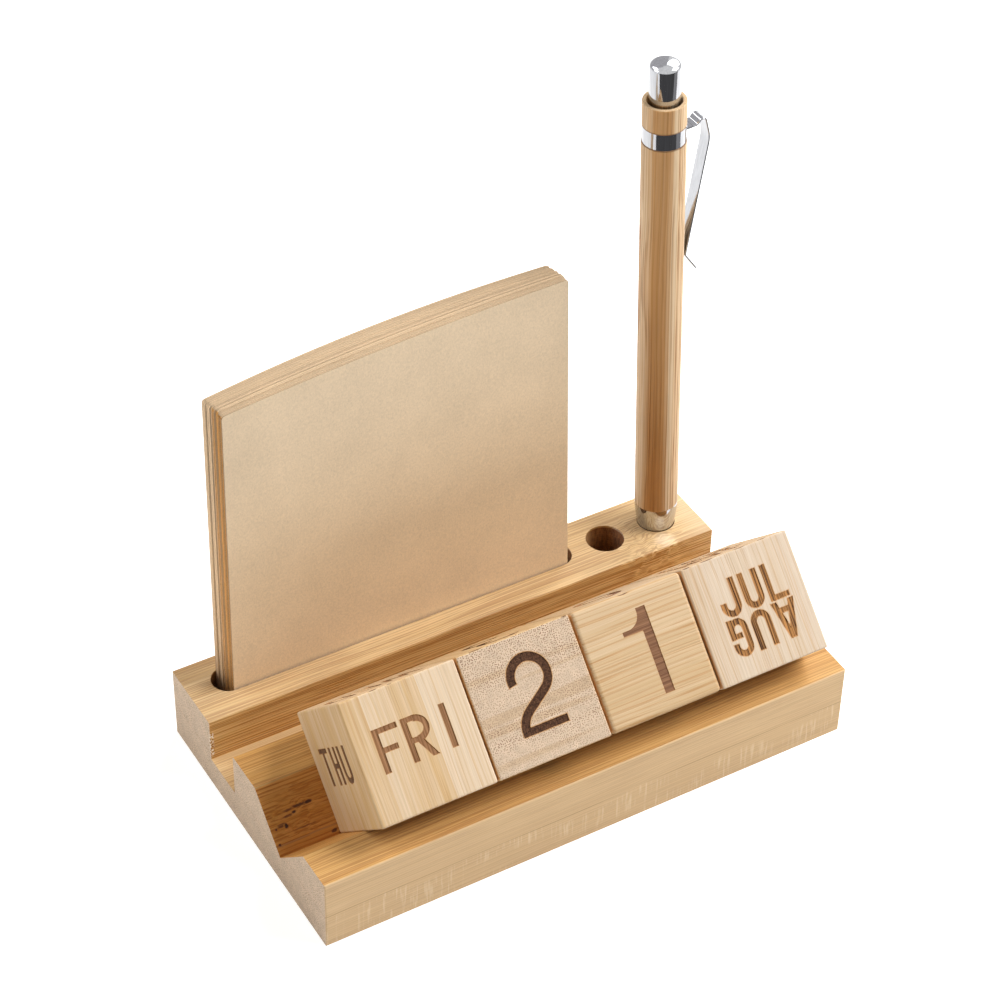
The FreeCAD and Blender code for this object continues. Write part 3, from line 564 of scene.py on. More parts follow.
def stroke_outline(stroke, width, height, pen):
    """The corners of one stroke, in mm from the glyph's lower left corner."""
    kind, *spec = stroke
    half = pen / 2

    def right(share):
        return half + share * (width - pen)

    def up(share):
        return 0.0 if share <= 0 else height if share >= 1 else half + share * (height - pen)

    if kind == "rise":
        x0, y0, x1, y1 = right(spec[0]), up(spec[1]), right(spec[2]), up(spec[3])
        reach = half * math.hypot(x1 - x0, y1 - y0) / abs(y1 - y0)
        return [(x0 - reach, y0), (x0 + reach, y0), (x1 + reach, y1), (x1 - reach, y1)]
    if kind == "bar":
        thick = half * BAR_SHARE
        middle = thick + spec[0] * (height - 2 * thick)
        x0, x1 = right(spec[1]) - half, right(spec[2]) + half
        return [(x0, middle - thick), (x1, middle - thick), (x1, middle + thick), (x0, middle + thick)]
    if kind == "line":
        x0, y0, x1, y1 = (half + s * (size - pen) for s, size in zip(spec, (width, height) * 2))
        side = Vector((y0 - y1, x1 - x0)).normalized() * half
        return [(x0 - side.x, y0 - side.y), (x0 + side.x, y0 + side.y),
                (x1 + side.x, y1 + side.y), (x1 - side.x, y1 - side.y)]
    if kind == "flag":
        low, high, radius = (share * height for share in spec)
        stem = width - pen
        outline = [(0, low), (stem + half, low), (stem + half, high + radius), (stem, high + radius)]
        centre = (stem - radius, high + radius)
        turns = [math.radians(-BOW_STEP * i) for i in range(1, int(90 / BOW_STEP) + 1)]
        outline += [(centre[0] + radius * math.cos(t), centre[1] + radius * math.sin(t)) for t in turns]
        return outline + [(0, high)]
    x, y = half + spec[0] * (width - pen), half + spec[1] * (height - pen)
    across, upward = spec[2] * (width - pen), spec[3] * (height - pen)
    start, end = spec[4], spec[5]
    steps = max(4, round((end - start) / BOW_STEP))
    turns = [math.radians(start + (end - start) * i / steps) for i in range(steps + 1)]
    outer = [(x + (across + half) * math.cos(t), y + (upward + half) * math.sin(t)) for t in turns]
    inner = [(x + (across - half) * math.cos(t), y + (upward - half) * math.sin(t)) for t in turns]
    return outer + inner[::-1]


def area(outline):
    return sum(a[0] * b[1] - b[0] * a[1] for a, b in wrapped(outline)) / 2


def offset(outline, distance):
    """The outline with each side moved outwards, mitred."""
    moved = []
    corners = [Vector(corner) for corner in outline]
    for before, corner, after in zip(corners[-1:] + corners, corners, corners[1:] + corners[:1]):
        side_in, side_out = (corner - before).normalized(), (after - corner).normalized()
        outwards = Vector((side_in.y, -side_in.x))
        normal = outwards + Vector((side_out.y, -side_out.x))
        normal.normalize()
        cosine = max(MITRE_LIMIT, normal.dot(outwards))
        moved.append(corner + normal * (distance / cosine))
    return moved


def subdivided(outline):
    """The outline with its long sides cut into short ones."""
    fine = []
    for a, b in wrapped(outline):
        count = max(1, math.ceil(math.dist(a, b) / OUTLINE_STEP))
        fine += [(a[0] + (b[0] - a[0]) * i / count, a[1] + (b[1] - a[1]) * i / count) for i in range(count)]
    return fine


def holds(outline, point):
    """Whether a point is inside an outline."""
    inside = False
    for a, b in wrapped(outline):
        if (a[1] > point[1]) != (b[1] > point[1]):
            if point[0] < a[0] + (point[1] - a[1]) * (b[0] - a[0]) / (b[1] - a[1]):
                inside = not inside
    return inside


def free_border(outlines):
    """A search tree of the points of the outlines that no other outline covers."""
    free = []
    for outline in outlines:
        others = [other for other in outlines if other is not outline]
        for a, b in wrapped(outline):
            side = Vector((b[0] - a[0], b[1] - a[1])).normalized()
            for share in BORDER_SHARES:
                at = (a[0] + (b[0] - a[0]) * share, a[1] + (b[1] - a[1]) * share)
                outside = (at[0] + side.y * JOINT_GAP, at[1] - side.x * JOINT_GAP)
                if not any(holds(other, outside) for other in others):
                    free.append((*at, 0.0))
    tree = KDTree(len(free))
    for number, point in enumerate(free):
        tree.insert(point, number)
    tree.balance()
    return tree


def edge_distance(point, outlines, border):
    """How far a point is outside the letters, in mm; inside is negative."""
    nearest = border.find((point[0], point[1], 0.0))[2]
    if nearest < ON_BORDER:
        return 0.0
    touched = (point, (point[0] + JOINT_GAP, point[1] + JOINT_GAP / 3))
    return -nearest if any(holds(outline, at) for outline in outlines for at in touched) else nearest


class Text:
    """A word on a face: cap height, pen width, gap and middle in mm, and whether it stands on its head."""

    def __init__(self, word, cap, pen, gap, middle, flipped=False):
        self.word, self.cap, self.pen, self.gap = word, cap, pen, gap
        self.middle, self.flipped = middle, flipped

    def outlines(self):
        glyphs = [glyph(letter) for letter in self.word]
        widths = [share * self.cap for share, _ in glyphs]
        left = -(sum(widths) + self.gap * (len(widths) - 1)) / 2
        sign = -1 if self.flipped else 1
        middle_x, middle_y = self.middle
        found = []
        for (_, strokes), width in zip(glyphs, widths):
            for stroke in strokes:
                outline = stroke_outline(stroke, width, self.cap, self.pen)
                placed = [
                    (middle_x + sign * (left + x), middle_y + sign * (y - self.cap / 2)) for x, y in outline
                ]
                found.append(subdivided(placed if area(placed) > 0 else placed[::-1]))
            left += width + self.gap
        return found


def weekday(word, cap=10.2, gap=1.0, middle=(0.85, 1.3)):
    return [Text(word, cap, 1.45, gap, middle)]


def months(upper, lower):
    """Two words of three letters, the lower one on its head."""
    return [Text(upper, 8.95, 1.42, 1.25, (0.95, 4.55)), Text(lower, 9.1, 1.42, 1.2, (1.0, -5.0), True)]


def tens(word):
    return [Text(word, 18.3, 2.1, 1.0, (0.2, 1.25))]


def units(word):
    return [Text(word, 20.85, 2.5, 1.0, (-0.3, -0.08))]


# The faces of a cube in its own frame, where +z looks up and forwards: (right, up, outwards).
FACES = (
    ((1, 0, 0), (0, 1, 0), (0, 0, 1)),
    ((0, 0, 1), (0, 1, 0), (-1, 0, 0)),
    ((0, 0, -1), (0, 1, 0), (1, 0, 0)),
    ((-1, 0, 0), (0, 0, 1), (0, 1, 0)),
    ((1, 0, 0), (0, 0, 1), (0, -1, 0)),
    ((-1, 0, 0), (0, 1, 0), (0, 0, -1)),
)
WEEKEND = [Text("SAT", 8.95, 1.42, 1.25, (0, 4.55)), Text("SUN", 8.95, 1.42, 1.25, (0, -5.0), True)]
LETTERING = {
    "weekday": [weekday("FRI"), weekday("THU", 9.0, 1.3, (-0.3, 0.9)), weekday("MON"),
                weekday("WED", gap=0.9), WEEKEND, weekday("TUE")],
    "tens": [tens(digit) for digit in "201345"],
    "units": [units("1"), units("0"), tens("2"), tens("6"), tens("7"), tens("8")],
    "month": [months("JUL", "AUG"), months("SEP", "OCT"), months("NOV", "DEC"), months("JAN", "FEB"),
              months("MAR", "APR"), months("MAY", "JUN")],
}
# Torn fibres along the cubes' edges: middle and half lengths in mm in the cube's frame, and depth.
CHIPS = {
    "weekday": [((-5.8, 14.7, 14.55), (1.3, 0.15), 0.05), ((-1.6, 14.7, 14.55), (0.8, 0.13), 0.05)],
    "tens": [((-9.5, 14.7, 14.5), (2.2, 0.18), 0.06), ((13.6, 14.7, 14.6), (0.9, 0.26), 0.1)],
    "units": [((-0.5, 14.7, 14.2), (1.5, 0.50), 0.3), ((-9.0, 14.72, 14.5), (3.0, 0.17), 0.06),
              ((5.5, 14.7, 14.5), (1.6, 0.15), 0.05)],
    "month": [((-13.2, 14.72, 14.5), (1.2, 0.26), 0.1), ((-7.5, 14.72, 14.5), (2.2, 0.20), 0.08),
              ((1.5, 14.72, 14.5), (2.0, 0.18), 0.08), ((8.0, 14.72, 14.5), (1.4, 0.15), 0.05)],
}
EDGE_STEPS = 56
FACE_BORDER = 0.5
ROUND_STEPS = 4
CUBE_TURN = math.radians(45)
MERGE_REACH = 0.002
CUT_REACH = 1e-5
LEAST_CHIP = 0.02
SIGNS = (-1, 1)


def add_face(bm, edge_layer, flat, half, axes, outlines, depth):
    """One lettered face: a square cut up along the letters' outlines, sunk inside them."""
    right, up, out = (Vector(axis) for axis in axes)
    steps = cut_up(-flat, flat, EDGE_STEPS)[:-1]
    points = [(s, -flat) for s in steps] + [(flat, s) for s in steps]
    points += [(-s, flat) for s in steps] + [(-flat, -s) for s in steps]
    sides = list(wrapped(list(range(len(points)))))
    inner = flat - FACE_BORDER
    points += [(x * inner / flat, y * inner / flat) for x, y in points]
    for level in LEVELS:
        for outline in outlines:
            ring = offset(outline, level)
            sides += wrapped(list(range(len(points), len(points) + len(ring))))
            points += [tuple(p) for p in ring]
    border = free_border(outlines)
    places, _, corners, *_ = delaunay_2d_cdt([Vector(p) for p in points], sides, [], 0, CUT_REACH)
    rim, high, low = LEVELS
    made = []
    for place in places:
        distance = edge_distance(place, outlines, border)
        sunk = depth * min(1.0, max(0.0, (high - distance) / (high - low)))
        vertex = bm.verts.new(right * place.x + up * place.y + out * (half - sunk))
        vertex[edge_layer] = min(rim, distance)
        made.append(vertex)
    for corner in corners:
        bm.faces.new([made[i] for i in corner])


def add_patch(bm, edge_layer, rows):
    """A smooth patch through rows of points, bare of letters."""
    grid = [[bm.verts.new(p) for p in row] for row in rows]
    for row in grid:
        for vertex in row:
            vertex[edge_layer] = LEVELS[0]
    for lower, upper in zip(grid, grid[1:]):
        for i in range(len(lower) - 1):
            bm.faces.new((lower[i], lower[i + 1], upper[i + 1], upper[i])).smooth = True


def add_edges(bm, edge_layer, flat, radius):
    """The rounded edges and corners between the faces."""
    turns = cut_up(0.0, math.pi / 2, ROUND_STEPS)
    axes = [Vector((1, 0, 0)), Vector((0, 1, 0)), Vector((0, 0, 1))]
    steps = cut_up(-flat, flat, EDGE_STEPS)
    for number, along in enumerate(axes):
        first, second = axes[(number + 1) % 3], axes[(number + 2) % 3]
        for a, b in product(SIGNS, SIGNS):
            corner = (first * a + second * b) * flat
            spokes = [(first * a * math.cos(t) + second * b * math.sin(t)) * radius for t in turns]
            rows = [[corner + spoke + along * step for step in steps] for spoke in spokes]
            add_patch(bm, edge_layer, rows)
    for a, b, c in product(SIGNS, SIGNS, SIGNS):
        corner = Vector((a, b, c)) * flat
        add_patch(bm, edge_layer, [
            [corner + Vector((a * math.sin(p) * math.cos(t), b * math.sin(p) * math.sin(t),
                              c * math.cos(p))) * radius for t in turns]
            for p in turns
        ])


def make_cube(name, radius_mm, depth_mm, material):
    """A lettered cube that takes the place of its CAD block."""
    node = f"{name}_block"
    low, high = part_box(node)
    side = (high[0] - low[0]) / MM
    half = side / 2
    flat = half - radius_mm
    bm = bmesh.new()
    edge_layer = bm.verts.layers.float.new("letter_edge")
    for axes, words in zip(FACES, LETTERING[name]):
        outlines = [outline for word in words for outline in word.outlines()]
        add_face(bm, edge_layer, flat, half, axes, outlines, depth_mm)
    add_edges(bm, edge_layer, flat, radius_mm)
    bmesh.ops.remove_doubles(bm, verts=bm.verts, dist=MERGE_REACH)
    bmesh.ops.recalc_face_normals(bm, faces=bm.faces)
    for vertex in bm.verts:
        for middle, (length, width), deep in CHIPS[name]:
            away = vertex.co - Vector(middle)
            share = math.exp(-((away.x / length) ** 2) - (away.y ** 2 + away.z ** 2) / width ** 2)
            if share > LEAST_CHIP:
                inwards = Vector((0, math.copysign(deep, middle[1]), math.copysign(deep, middle[2])))
                vertex.co -= inwards * share
    place = Matrix.Translation(box_middle(node)) @ Matrix.Rotation(CUBE_TURN, 4, "X")
    bm.transform(place @ Matrix.Scale(MM, 4))
    mesh = drawn(f"{name}_cube", bm)
    mesh.materials.append(material)
    return added(f"{name}_cube", mesh)


# ---------------------------------------------------------------- memo sheets


SHEET_COLUMNS = 20
SHEET_ROWS = 12
BUNCHES = 5
BUNCH_SHIFTS = (-0.00005, 0.00015, -0.00025, -0.00055, -0.00095)
SHEET_PITCH = 0.0001
BUNCH_GAP = 0.0002
STACK_FRONT = 0.0267
BLOCK_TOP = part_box("base_block")[1][2]
# The stack's other inputs, in metres: jitter of the sheets, and how their tops lean, fan and bow backwards.
STACK_SHAPE = {
    "Side jitter": 0.00007, "Height jitter": 0.0003, "Lean left": -0.0021, "Lean right": 0.0045,
    "Fan left": 0.0002, "Fan right": -0.0003, "Bow": 0.0013, "Fan bow": 0.0012,
}
SHIFT_NAMES = [f"Bunch {i + 1} shift" for i in range(BUNCHES)]
STACK_LENGTHS = ("Pitch", "Bunch gap", *SHIFT_NAMES, "Front", "Left", "Right", "Mouth", "Top", *STACK_SHAPE)
STACK_INPUTS = (
    ("Geometry", "NodeSocketGeometry"), ("Sheets", "NodeSocketInt"), ("Sheets per bunch", "NodeSocketFloat"),
    *((name, "NodeSocketFloat") for name in STACK_LENGTHS),
)


def sheet_mesh(name, left, right, bottom, top, thickness, corner):
    """One upright sheet, with a grid fine enough to bend and its top corners rounded."""
    columns = [left, left + corner, *cut_up(left, right, SHEET_COLUMNS)[1:-1], right - corner, right]
    rows = [*cut_up(bottom, top, SHEET_ROWS)[:-1], top - corner, top]
    cut = corner * (1 - math.sqrt(0.5))
    bm = bmesh.new()
    sides = []
    for y in (0.0, thickness):
        grid = []
        for j, z in enumerate(rows):
            row = []
            for i, x in enumerate(columns):
                at_corner = j == len(rows) - 1 and i in (0, len(columns) - 1)
                inwards = (cut if i == 0 else -cut) if at_corner else 0.0
                row.append(bm.verts.new((x + inwards, y, z - abs(inwards))))
            grid.append(row)
        sides.append(grid)
    front, rear = sides
    for j in range(len(rows) - 1):
        for i in range(len(columns) - 1):
            bm.faces.new((front[j][i], front[j][i + 1], front[j + 1][i + 1], front[j + 1][i]))
            bm.faces.new((rear[j][i], rear[j + 1][i], rear[j + 1][i + 1], rear[j][i + 1]))
    rims = []
    for grid in sides:
        right_rim, left_rim = [row[-1] for row in grid[1:]], [row[0] for row in grid[-2:0:-1]]
        rims.append(grid[0] + right_rim + grid[-1][-2::-1] + left_rim)
    for (a, b), (c, d) in zip(*(wrapped(rim) for rim in rims)):
        bm.faces.new((a, c, d, b))
    return drawn(name, bm)


def stack_tree(material):
    """Geometry Nodes: copies one sheet into bunches, then leans, bows and fans the stack above the slot."""
    group = bpy.data.node_groups.new("memo_stack", "GeometryNodeTree")
    sockets = {}
    for name, kind in STACK_INPUTS:
        made = group.interface.new_socket(name, in_out="INPUT", socket_type=kind)
        sockets[name] = made.identifier
    group.interface.new_socket("Geometry", in_out="OUTPUT", socket_type="NodeSocketGeometry")
    kit = Tree(group)
    entry = group.nodes.new("NodeGroupInput")
    given = {name: Value(kit, entry.outputs[name]) for name, _ in STACK_INPUTS}

    def random_float(low, high, seed):
        index = kit.node("GeometryNodeInputIndex")
        inputs = {2: low, 3: high, 7: index, 8: seed}
        return kit.node("FunctionNodeRandomValue", {"data_type": "FLOAT"}, inputs, 1)

    def stored(points, name, value):
        settings = {"data_type": "FLOAT", "domain": "POINT"}
        inputs = {"Geometry": points, "Name": name, "Value": value}
        return kit.node("GeometryNodeStoreNamedAttribute", settings, inputs)

    line = kit.node("GeometryNodeMeshLine", {"mode": "OFFSET"}, {"Count": given["Sheets"]})
    index = kit.node("GeometryNodeInputIndex")
    bunch = (index / given["Sheets per bunch"]).floor()
    depth = index * given["Pitch"] + bunch * given["Bunch gap"]
    shift = kit.node(
        "GeometryNodeIndexSwitch", {"data_type": "FLOAT", "items": BUNCHES},
        {0: bunch, **{i + 1: given[name] for i, name in enumerate(SHIFT_NAMES)}},
    )
    sideways = shift + random_float(-1.0, 1.0, 3) * given["Side jitter"]
    drop = random_float(-1.0, 0.0, 5) * given["Height jitter"]
    place = kit.joined(sideways, given["Front"] + depth, drop)
    line = kit.node("GeometryNodeSetPosition", {}, {"Geometry": line, "Position": place})
    line = stored(line, "order", index / (given["Sheets"] - 1.0))
    line = stored(line, "sheet_tone", random_float(0.0, 1.0, 9))
    sheets = kit.node("GeometryNodeInstanceOnPoints", {}, {"Points": line, "Instance": given["Geometry"]})
    sheets = kit.node("GeometryNodeRealizeInstances", {}, {0: sheets})
    x, _, z = kit.split(kit.node("GeometryNodeInputPosition"))
    behind = kit.node("GeometryNodeInputNamedAttribute", {"data_type": "FLOAT"}, {"Name": "order"})
    share = ((x - given["Left"]) / (given["Right"] - given["Left"])).clamped()
    rise = ((z - given["Mouth"]) / (given["Top"] - given["Mouth"])).clamped()
    lean_left = given["Lean left"] + given["Fan left"] * behind
    lean_right = given["Lean right"] + given["Fan right"] * behind
    bow = (given["Bow"] + given["Fan bow"] * behind) * share * (1.0 - share) * 4.0
    back = rise * (lean_left + (lean_right - lean_left) * share + bow)
    sheets = kit.node(
        "GeometryNodeSetPosition", {}, {"Geometry": sheets, "Offset": kit.joined(0.0, back, 0.0)}
    )
    sheets = kit.node("GeometryNodeSetMaterial", {}, {"Geometry": sheets, "Material": material})
    leave = group.nodes.new("NodeGroupOutput")
    group.links.new(sheets.socket, leave.inputs[0])
    return group, sockets


def baked(source, name, group, sockets, values):
    """The result of a Geometry Nodes tree as a plain mesh object."""
    modifier = source.modifiers.new("nodes", "NODES")
    modifier.node_group = group
    for key, value in values.items():
        modifier[sockets[key]] = value
    graph = bpy.context.evaluated_depsgraph_get()
    mesh = bpy.data.meshes.new_from_object(source.evaluated_get(graph))
    mesh.name = name
    source.modifiers.remove(modifier)
    bpy.data.objects.remove(source)
    return added(name, mesh)


# ---------------------------------------------------------------- pen

PEN_STRIPS = [(-5.6, 0.15), (-5.1, 0.45), (-4.7, 0.80), (-4.4, 1.0), (-1.9, 0.90), (-1.6, 0.70),
              (-0.7, 0.20), (-0.1, 0.10), (0.9, 0.25), (1.5, 0.20), (5.6, 0.20)]
PEN_AXIS = Vector(next(joint["axis"] for joint in frame["joints"] if joint["name"] == "pen_lift"))
PEN_AXIS.normalize()
PEN_ACROSS = (Vector((1, 0, 0)) - PEN_AXIS * PEN_AXIS.x).normalized()
PEN_TURN = Matrix((PEN_ACROSS, PEN_AXIS.cross(PEN_ACROSS), PEN_AXIS)).transposed()
PEN_MOUTH = Vector((0.0597, 0.0293, 0.020))
PEN_PLACE = Matrix.Translation(PEN_MOUTH) @ PEN_TURN.to_4x4() @ Matrix.Scale(MM, 4)
# The clip's middle line: reach from the pen's axis, height over the hole's mouth and bend radius, in mm.
CLIP_LINE = ((6.65, 116.8, 0.0), (7.9, 116.8, 0.6), (8.9, 118.0, 0.6), (10.1, 118.0, 0.8),
             (11.4, 112.4, 8.0), (5.58, 81.2, 1.2), (8.7, 76.4, 0.0))
CLIP_THICKNESS = 0.4
CLIP_WIDTH = 3.6
CLIP_CHAMFER = 0.07
CLIP_STEP = 7
TURN_STEPS = 96
PEN_MERGE_REACH = 1e-4
RING_LEVELS = (114.9, 119.1)
NOSE_TIP = 1.45
NOSE_MOUTH = 4.70
NOSE_SHOULDER = 7.1
NOSE_CHAMFER = 0.12
NOSE_BOW = 0.86
NOSE_STEPS = (12, 16)
SAME_LEVEL = 0.01
# The button's cap, in mm: how much wider than its solid, the flare of its foot, and its wall, shoulder,
# crown, rounded foot, roof and inner corner.
BUTTON_SWELL = 0.12
BUTTON_FLARE = 0.15
BUTTON_WALL = 0.45
BUTTON_SHOULDER = 1.25
BUTTON_CROWN = 0.30
BUTTON_FOOT = 0.08
BUTTON_ROOF = 0.7
BUTTON_CORNER = (1.0, 0.6)
CROWN_STEPS = 6
SHOULDER_STEPS = 10


def in_pen_frame(bm, name, material, sharp):
    """Ends a piece that was made in mm in the pen's own frame; corners over sharp degrees stay sharp."""
    bmesh.ops.remove_doubles(bm, verts=bm.verts, dist=PEN_MERGE_REACH)
    bmesh.ops.recalc_face_normals(bm, faces=bm.faces)
    for face in bm.faces:
        face.smooth = True
    bm.transform(PEN_PLACE)
    mesh = drawn(name, bm)
    mesh.set_sharp_from_angle(angle=math.radians(sharp))
    mesh.materials.append(material)
    return added(name, mesh)


def pen_points(node):
    """The points of a CAD node in mm in the pen's own frame."""
    thing = frame["nodes"][node]
    back = PEN_TURN.transposed()
    return [back @ (thing.matrix_world @ v.co - PEN_MOUTH) / MM for v in thing.data.vertices]


def pen_span(node):
    """Lowest and highest level along the pen and the largest radius of a CAD node, in mm."""
    points = pen_points(node)
    return (min(p.z for p in points), max(p.z for p in points), max(math.hypot(p.x, p.y) for p in points))


def turned(name, profile, material, sharp):
    """A turned piece: the profile is (radius, level) in mm."""
    bm = bmesh.new()
    rings = []
    for reach, level in profile:
        steps = range(TURN_STEPS) if reach > 0 else range(1)
        turns = [2 * math.pi * k / TURN_STEPS for k in steps]
        rings.append([bm.verts.new((reach * math.cos(t), reach * math.sin(t), level)) for t in turns])
    following = rings[1:] + (rings[:1] if profile[0][0] > 0 else [])
    for inner, outer in zip(rings, following):
        for k in range(TURN_STEPS):
            corners = [inner[k % len(inner)], outer[k % len(outer)]]
            corners += [outer[(k + 1) % len(outer)], inner[(k + 1) % len(inner)]]
            bm.faces.new(list(dict.fromkeys(corners)))
    return in_pen_frame(bm, name, material, sharp)


def make_button(name, node, material):
    """Drawn cap: a low crown, a rounded shoulder, a straight skirt and an open foot."""
    low, high, radius = pen_span(node)
    radius += BUTTON_SWELL
    foot = radius + BUTTON_FLARE
    inner = radius - BUTTON_WALL
    rim = radius - BUTTON_SHOULDER
    profile = [
        (rim * i / CROWN_STEPS, high - BUTTON_CROWN * (i / CROWN_STEPS) ** 2) for i in range(CROWN_STEPS + 1)
    ]
    start = math.atan(2 * BUTTON_CROWN / rim)
    for turn in cut_up(start, math.pi / 2, SHOULDER_STEPS)[1:]:
        reach = (math.sin(turn) - math.sin(start)) / (1 - math.sin(start))
        fall = math.cos(start) - math.cos(turn)
        profile.append((rim + BUTTON_SHOULDER * reach, high - BUTTON_CROWN - BUTTON_SHOULDER * fall))
    profile += [(foot, low + BUTTON_FOOT), (foot - BUTTON_FOOT, low), (inner, low)]
    corner_x, corner_z = BUTTON_CORNER
    profile += [(inner, high - BUTTON_CROWN - BUTTON_SHOULDER),
                (inner - corner_x, high - BUTTON_CROWN - corner_z), (0.0, high - BUTTON_ROOF)]
    return turned(name, profile, material, sharp=50)


def make_nose(name, node, material):
    """Turned nose cone, bowed and nearly upright where it stands out of the hole."""
    low, high, radius = pen_span(node)
    points = [(math.hypot(p.x, p.y), p.z) for p in pen_points(node)]
    bore = min(r for r, level in points if level < low + SAME_LEVEL)
    neck = max(r for r, level in points if level > high - SAME_LEVEL)
    cavity = min(r for r, level in points if level > high - SAME_LEVEL)
    seat = min(level for r, level in points if abs(r - cavity) < SAME_LEVEL)
    start = low + NOSE_CHAMFER
    profile = [(bore, low), (NOSE_TIP - NOSE_CHAMFER, low), (NOSE_TIP, start)]
    for share in cut_up(0, 1, NOSE_STEPS[0])[1:]:
        profile.append((NOSE_TIP + (NOSE_MOUTH - NOSE_TIP) * share ** NOSE_BOW, start * (1 - share)))
    for share in cut_up(0, 1, NOSE_STEPS[1])[1:]:
        swell = (radius - NOSE_MOUTH) * math.sin(math.pi / 2 * share)
        profile.append((NOSE_MOUTH + swell, NOSE_SHOULDER * share))
    profile += [(neck, NOSE_SHOULDER), (neck, high), (cavity, high), (cavity, seat), (bore, seat)]
    return turned(name, profile, material, sharp=40)


def make_spring(name, node, material):
    """The wound spring again, as a piece of its own."""
    bm = bmesh.new()
    bm.from_mesh(frame["nodes"][node].data)
    bm.transform(PEN_PLACE.inverted())
    return in_pen_frame(bm, name, material, sharp=40)


def clip_middle_line():
    """The clip's middle line as points with rounded bends."""
    points = [Vector(point[:2]) for point in CLIP_LINE]
    line = [points[0]]
    for i in range(1, len(points) - 1):
        into, out = (points[i] - points[i - 1]).normalized(), (points[i + 1] - points[i]).normalized()
        turn = into.angle(out)
        radius = CLIP_LINE[i][2]
        reach = radius * math.tan(turn / 2)
        side = 1.0 if into.cross(out) > 0 else -1.0
        start = points[i] - into * reach
        centre = start + Vector((-into.y, into.x)) * (radius * side)
        steps = max(4, round(math.degrees(turn) / CLIP_STEP))
        for k in range(steps + 1):
            spoke = start - centre
            spoke.rotate(Matrix.Rotation(side * turn * k / steps, 2))
            line.append(centre + spoke)
    return line + [points[-1]]


def make_clip(name, node, material):
    """Bent spring strip with broken edges, along the clip's own middle line and not from its node."""
    line = clip_middle_line()
    half_width, half_thick, cut = CLIP_WIDTH / 2, CLIP_THICKNESS / 2, CLIP_CHAMFER
    lower = [(-half_width + cut, -half_thick), (half_width - cut, -half_thick),
             (half_width, -half_thick + cut), (half_width, half_thick - cut)]
    section = lower + [(-across, -out) for across, out in lower]
    bm = bmesh.new()
    rings = []
    for before, point, after in zip(line[:1] + line, line, line[1:] + line[-1:]):
        along = (after - before).normalized()
        normal = Vector((-along.y, along.x))
        places = [(point + normal * out, across) for across, out in section]
        rings.append([bm.verts.new((place.x, across, place.y)) for place, across in places])
    for ring, following in zip(rings, rings[1:]):
        for (a, b), (c, d) in zip(wrapped(ring), wrapped(following)):
            bm.faces.new((a, b, d, c))
    bm.faces.new(rings[0])
    bm.faces.new(rings[-1][::-1])
    return in_pen_frame(bm, name, material, sharp=30)


# ---------------------------------------------------------------- settings


def length(name, description, default):
    """A size in metres."""
    return bpy.props.FloatProperty(name=name, description=description, default=default, unit="LENGTH")


def angle(name, description, degrees):
    """A turn, kept in radians."""
    return bpy.props.FloatProperty(
        name=name, description=description, default=math.radians(degrees), subtype="ANGLE"
    )


def colour(name, description, default):
    """A plain colour."""
    return bpy.props.FloatVectorProperty(
        name=name, description=description, default=default, subtype="COLOR"
    )


class BlockSettings(bpy.types.PropertyGroup):
    pale: colour("Pale strips", "Colour of the palest strips", (0.64, 0.415, 0.185))
    honey: colour("Honey strips", "Colour of the darkest strips", (0.475, 0.27, 0.085))


class CubeSettings(bpy.types.PropertyGroup):
    edge_radius: length("Edge radius", "Rounding of the cubes' edges", 0.00045)
    weekday_edge_radius: length("Weekday edge radius", "Rounding of the weekday cube's edges", 0.0005)
    units_edge_radius: length("Units edge radius", "Rounding of the units cube's edges", 0.0010)
    engraving_depth: length("Engraving depth", "How deep the letters are burnt", 0.00018)


class PaperSettings(bpy.types.PropertyGroup):
    sheets: bpy.props.IntProperty(name="Sheets", description="Sheets behind the front one", default=65)
    thickness: length("Thickness", "Thickness of one sheet", 0.000097)
    corner: length("Corner radius", "Radius of a sheet's corners", 0.0008)
    face_colour: colour("Face colour", "Colour of the paper's face", (0.68, 0.54, 0.375))
    edge_colour: colour("Edge colour", "Colour of the cut edges", (0.66, 0.485, 0.31))
    # painted shade: the front sheets' cut side edges take this darker colour in place of their shade
    painted_shade_edge_colour: colour(
        "Shaded edge colour", "Colour of the cut side edges of the front sheets", (0.64, 0.31, 0.08)
    )


class PenSettings(bpy.types.PropertyGroup):
    chrome_colour: colour("Chrome", "Colour of the plated parts", (0.56, 0.565, 0.585))
    chrome_roughness: bpy.props.FloatProperty(
        name="Chrome roughness", description="Roughness of the plated parts", default=0.06, min=0.0, max=1.0,
        subtype="FACTOR",
    )


class StageSettings(bpy.types.PropertyGroup):
    azimuth: angle("Azimuth", "The way the camera looks, from +Y towards +X", 30.964)
    elevation: angle("Elevation", "How far the camera looks down", 40.675)
    roll: angle("Roll", "Turn of the camera about its line of sight", 1.2105)
    eye: bpy.props.FloatVectorProperty(
        name="Eye", description="Where the camera stands", default=(-0.25895, -0.42538, 0.50128),
        subtype="TRANSLATION", unit="LENGTH",
    )
    lens: bpy.props.FloatProperty(name="Lens", description="Focal length in mm", default=104.709)


# ---------------------------------------------------------------- operators


BLOCK_STRIPS = [(-39, 0.30), (-30, 0.45), (-23, 0.60), (-14, 0.70), (-8, 0.55), (-1, 0.40), (4, 0.55),
                (12, 0.35), (20, 0.15), (25, 0.30), (33, 0.55), (39, 0.55)]
# Middle in mm, radius in mm and strength.
BLOCK_KNOTS = [((-62.0, -11.0, 14.0), 9.0, 0.55), ((53.0, 24.0, 20.0), 13.0, 0.75),
               ((-46.0, -25.0, 16.0), 6.0, 0.5)]
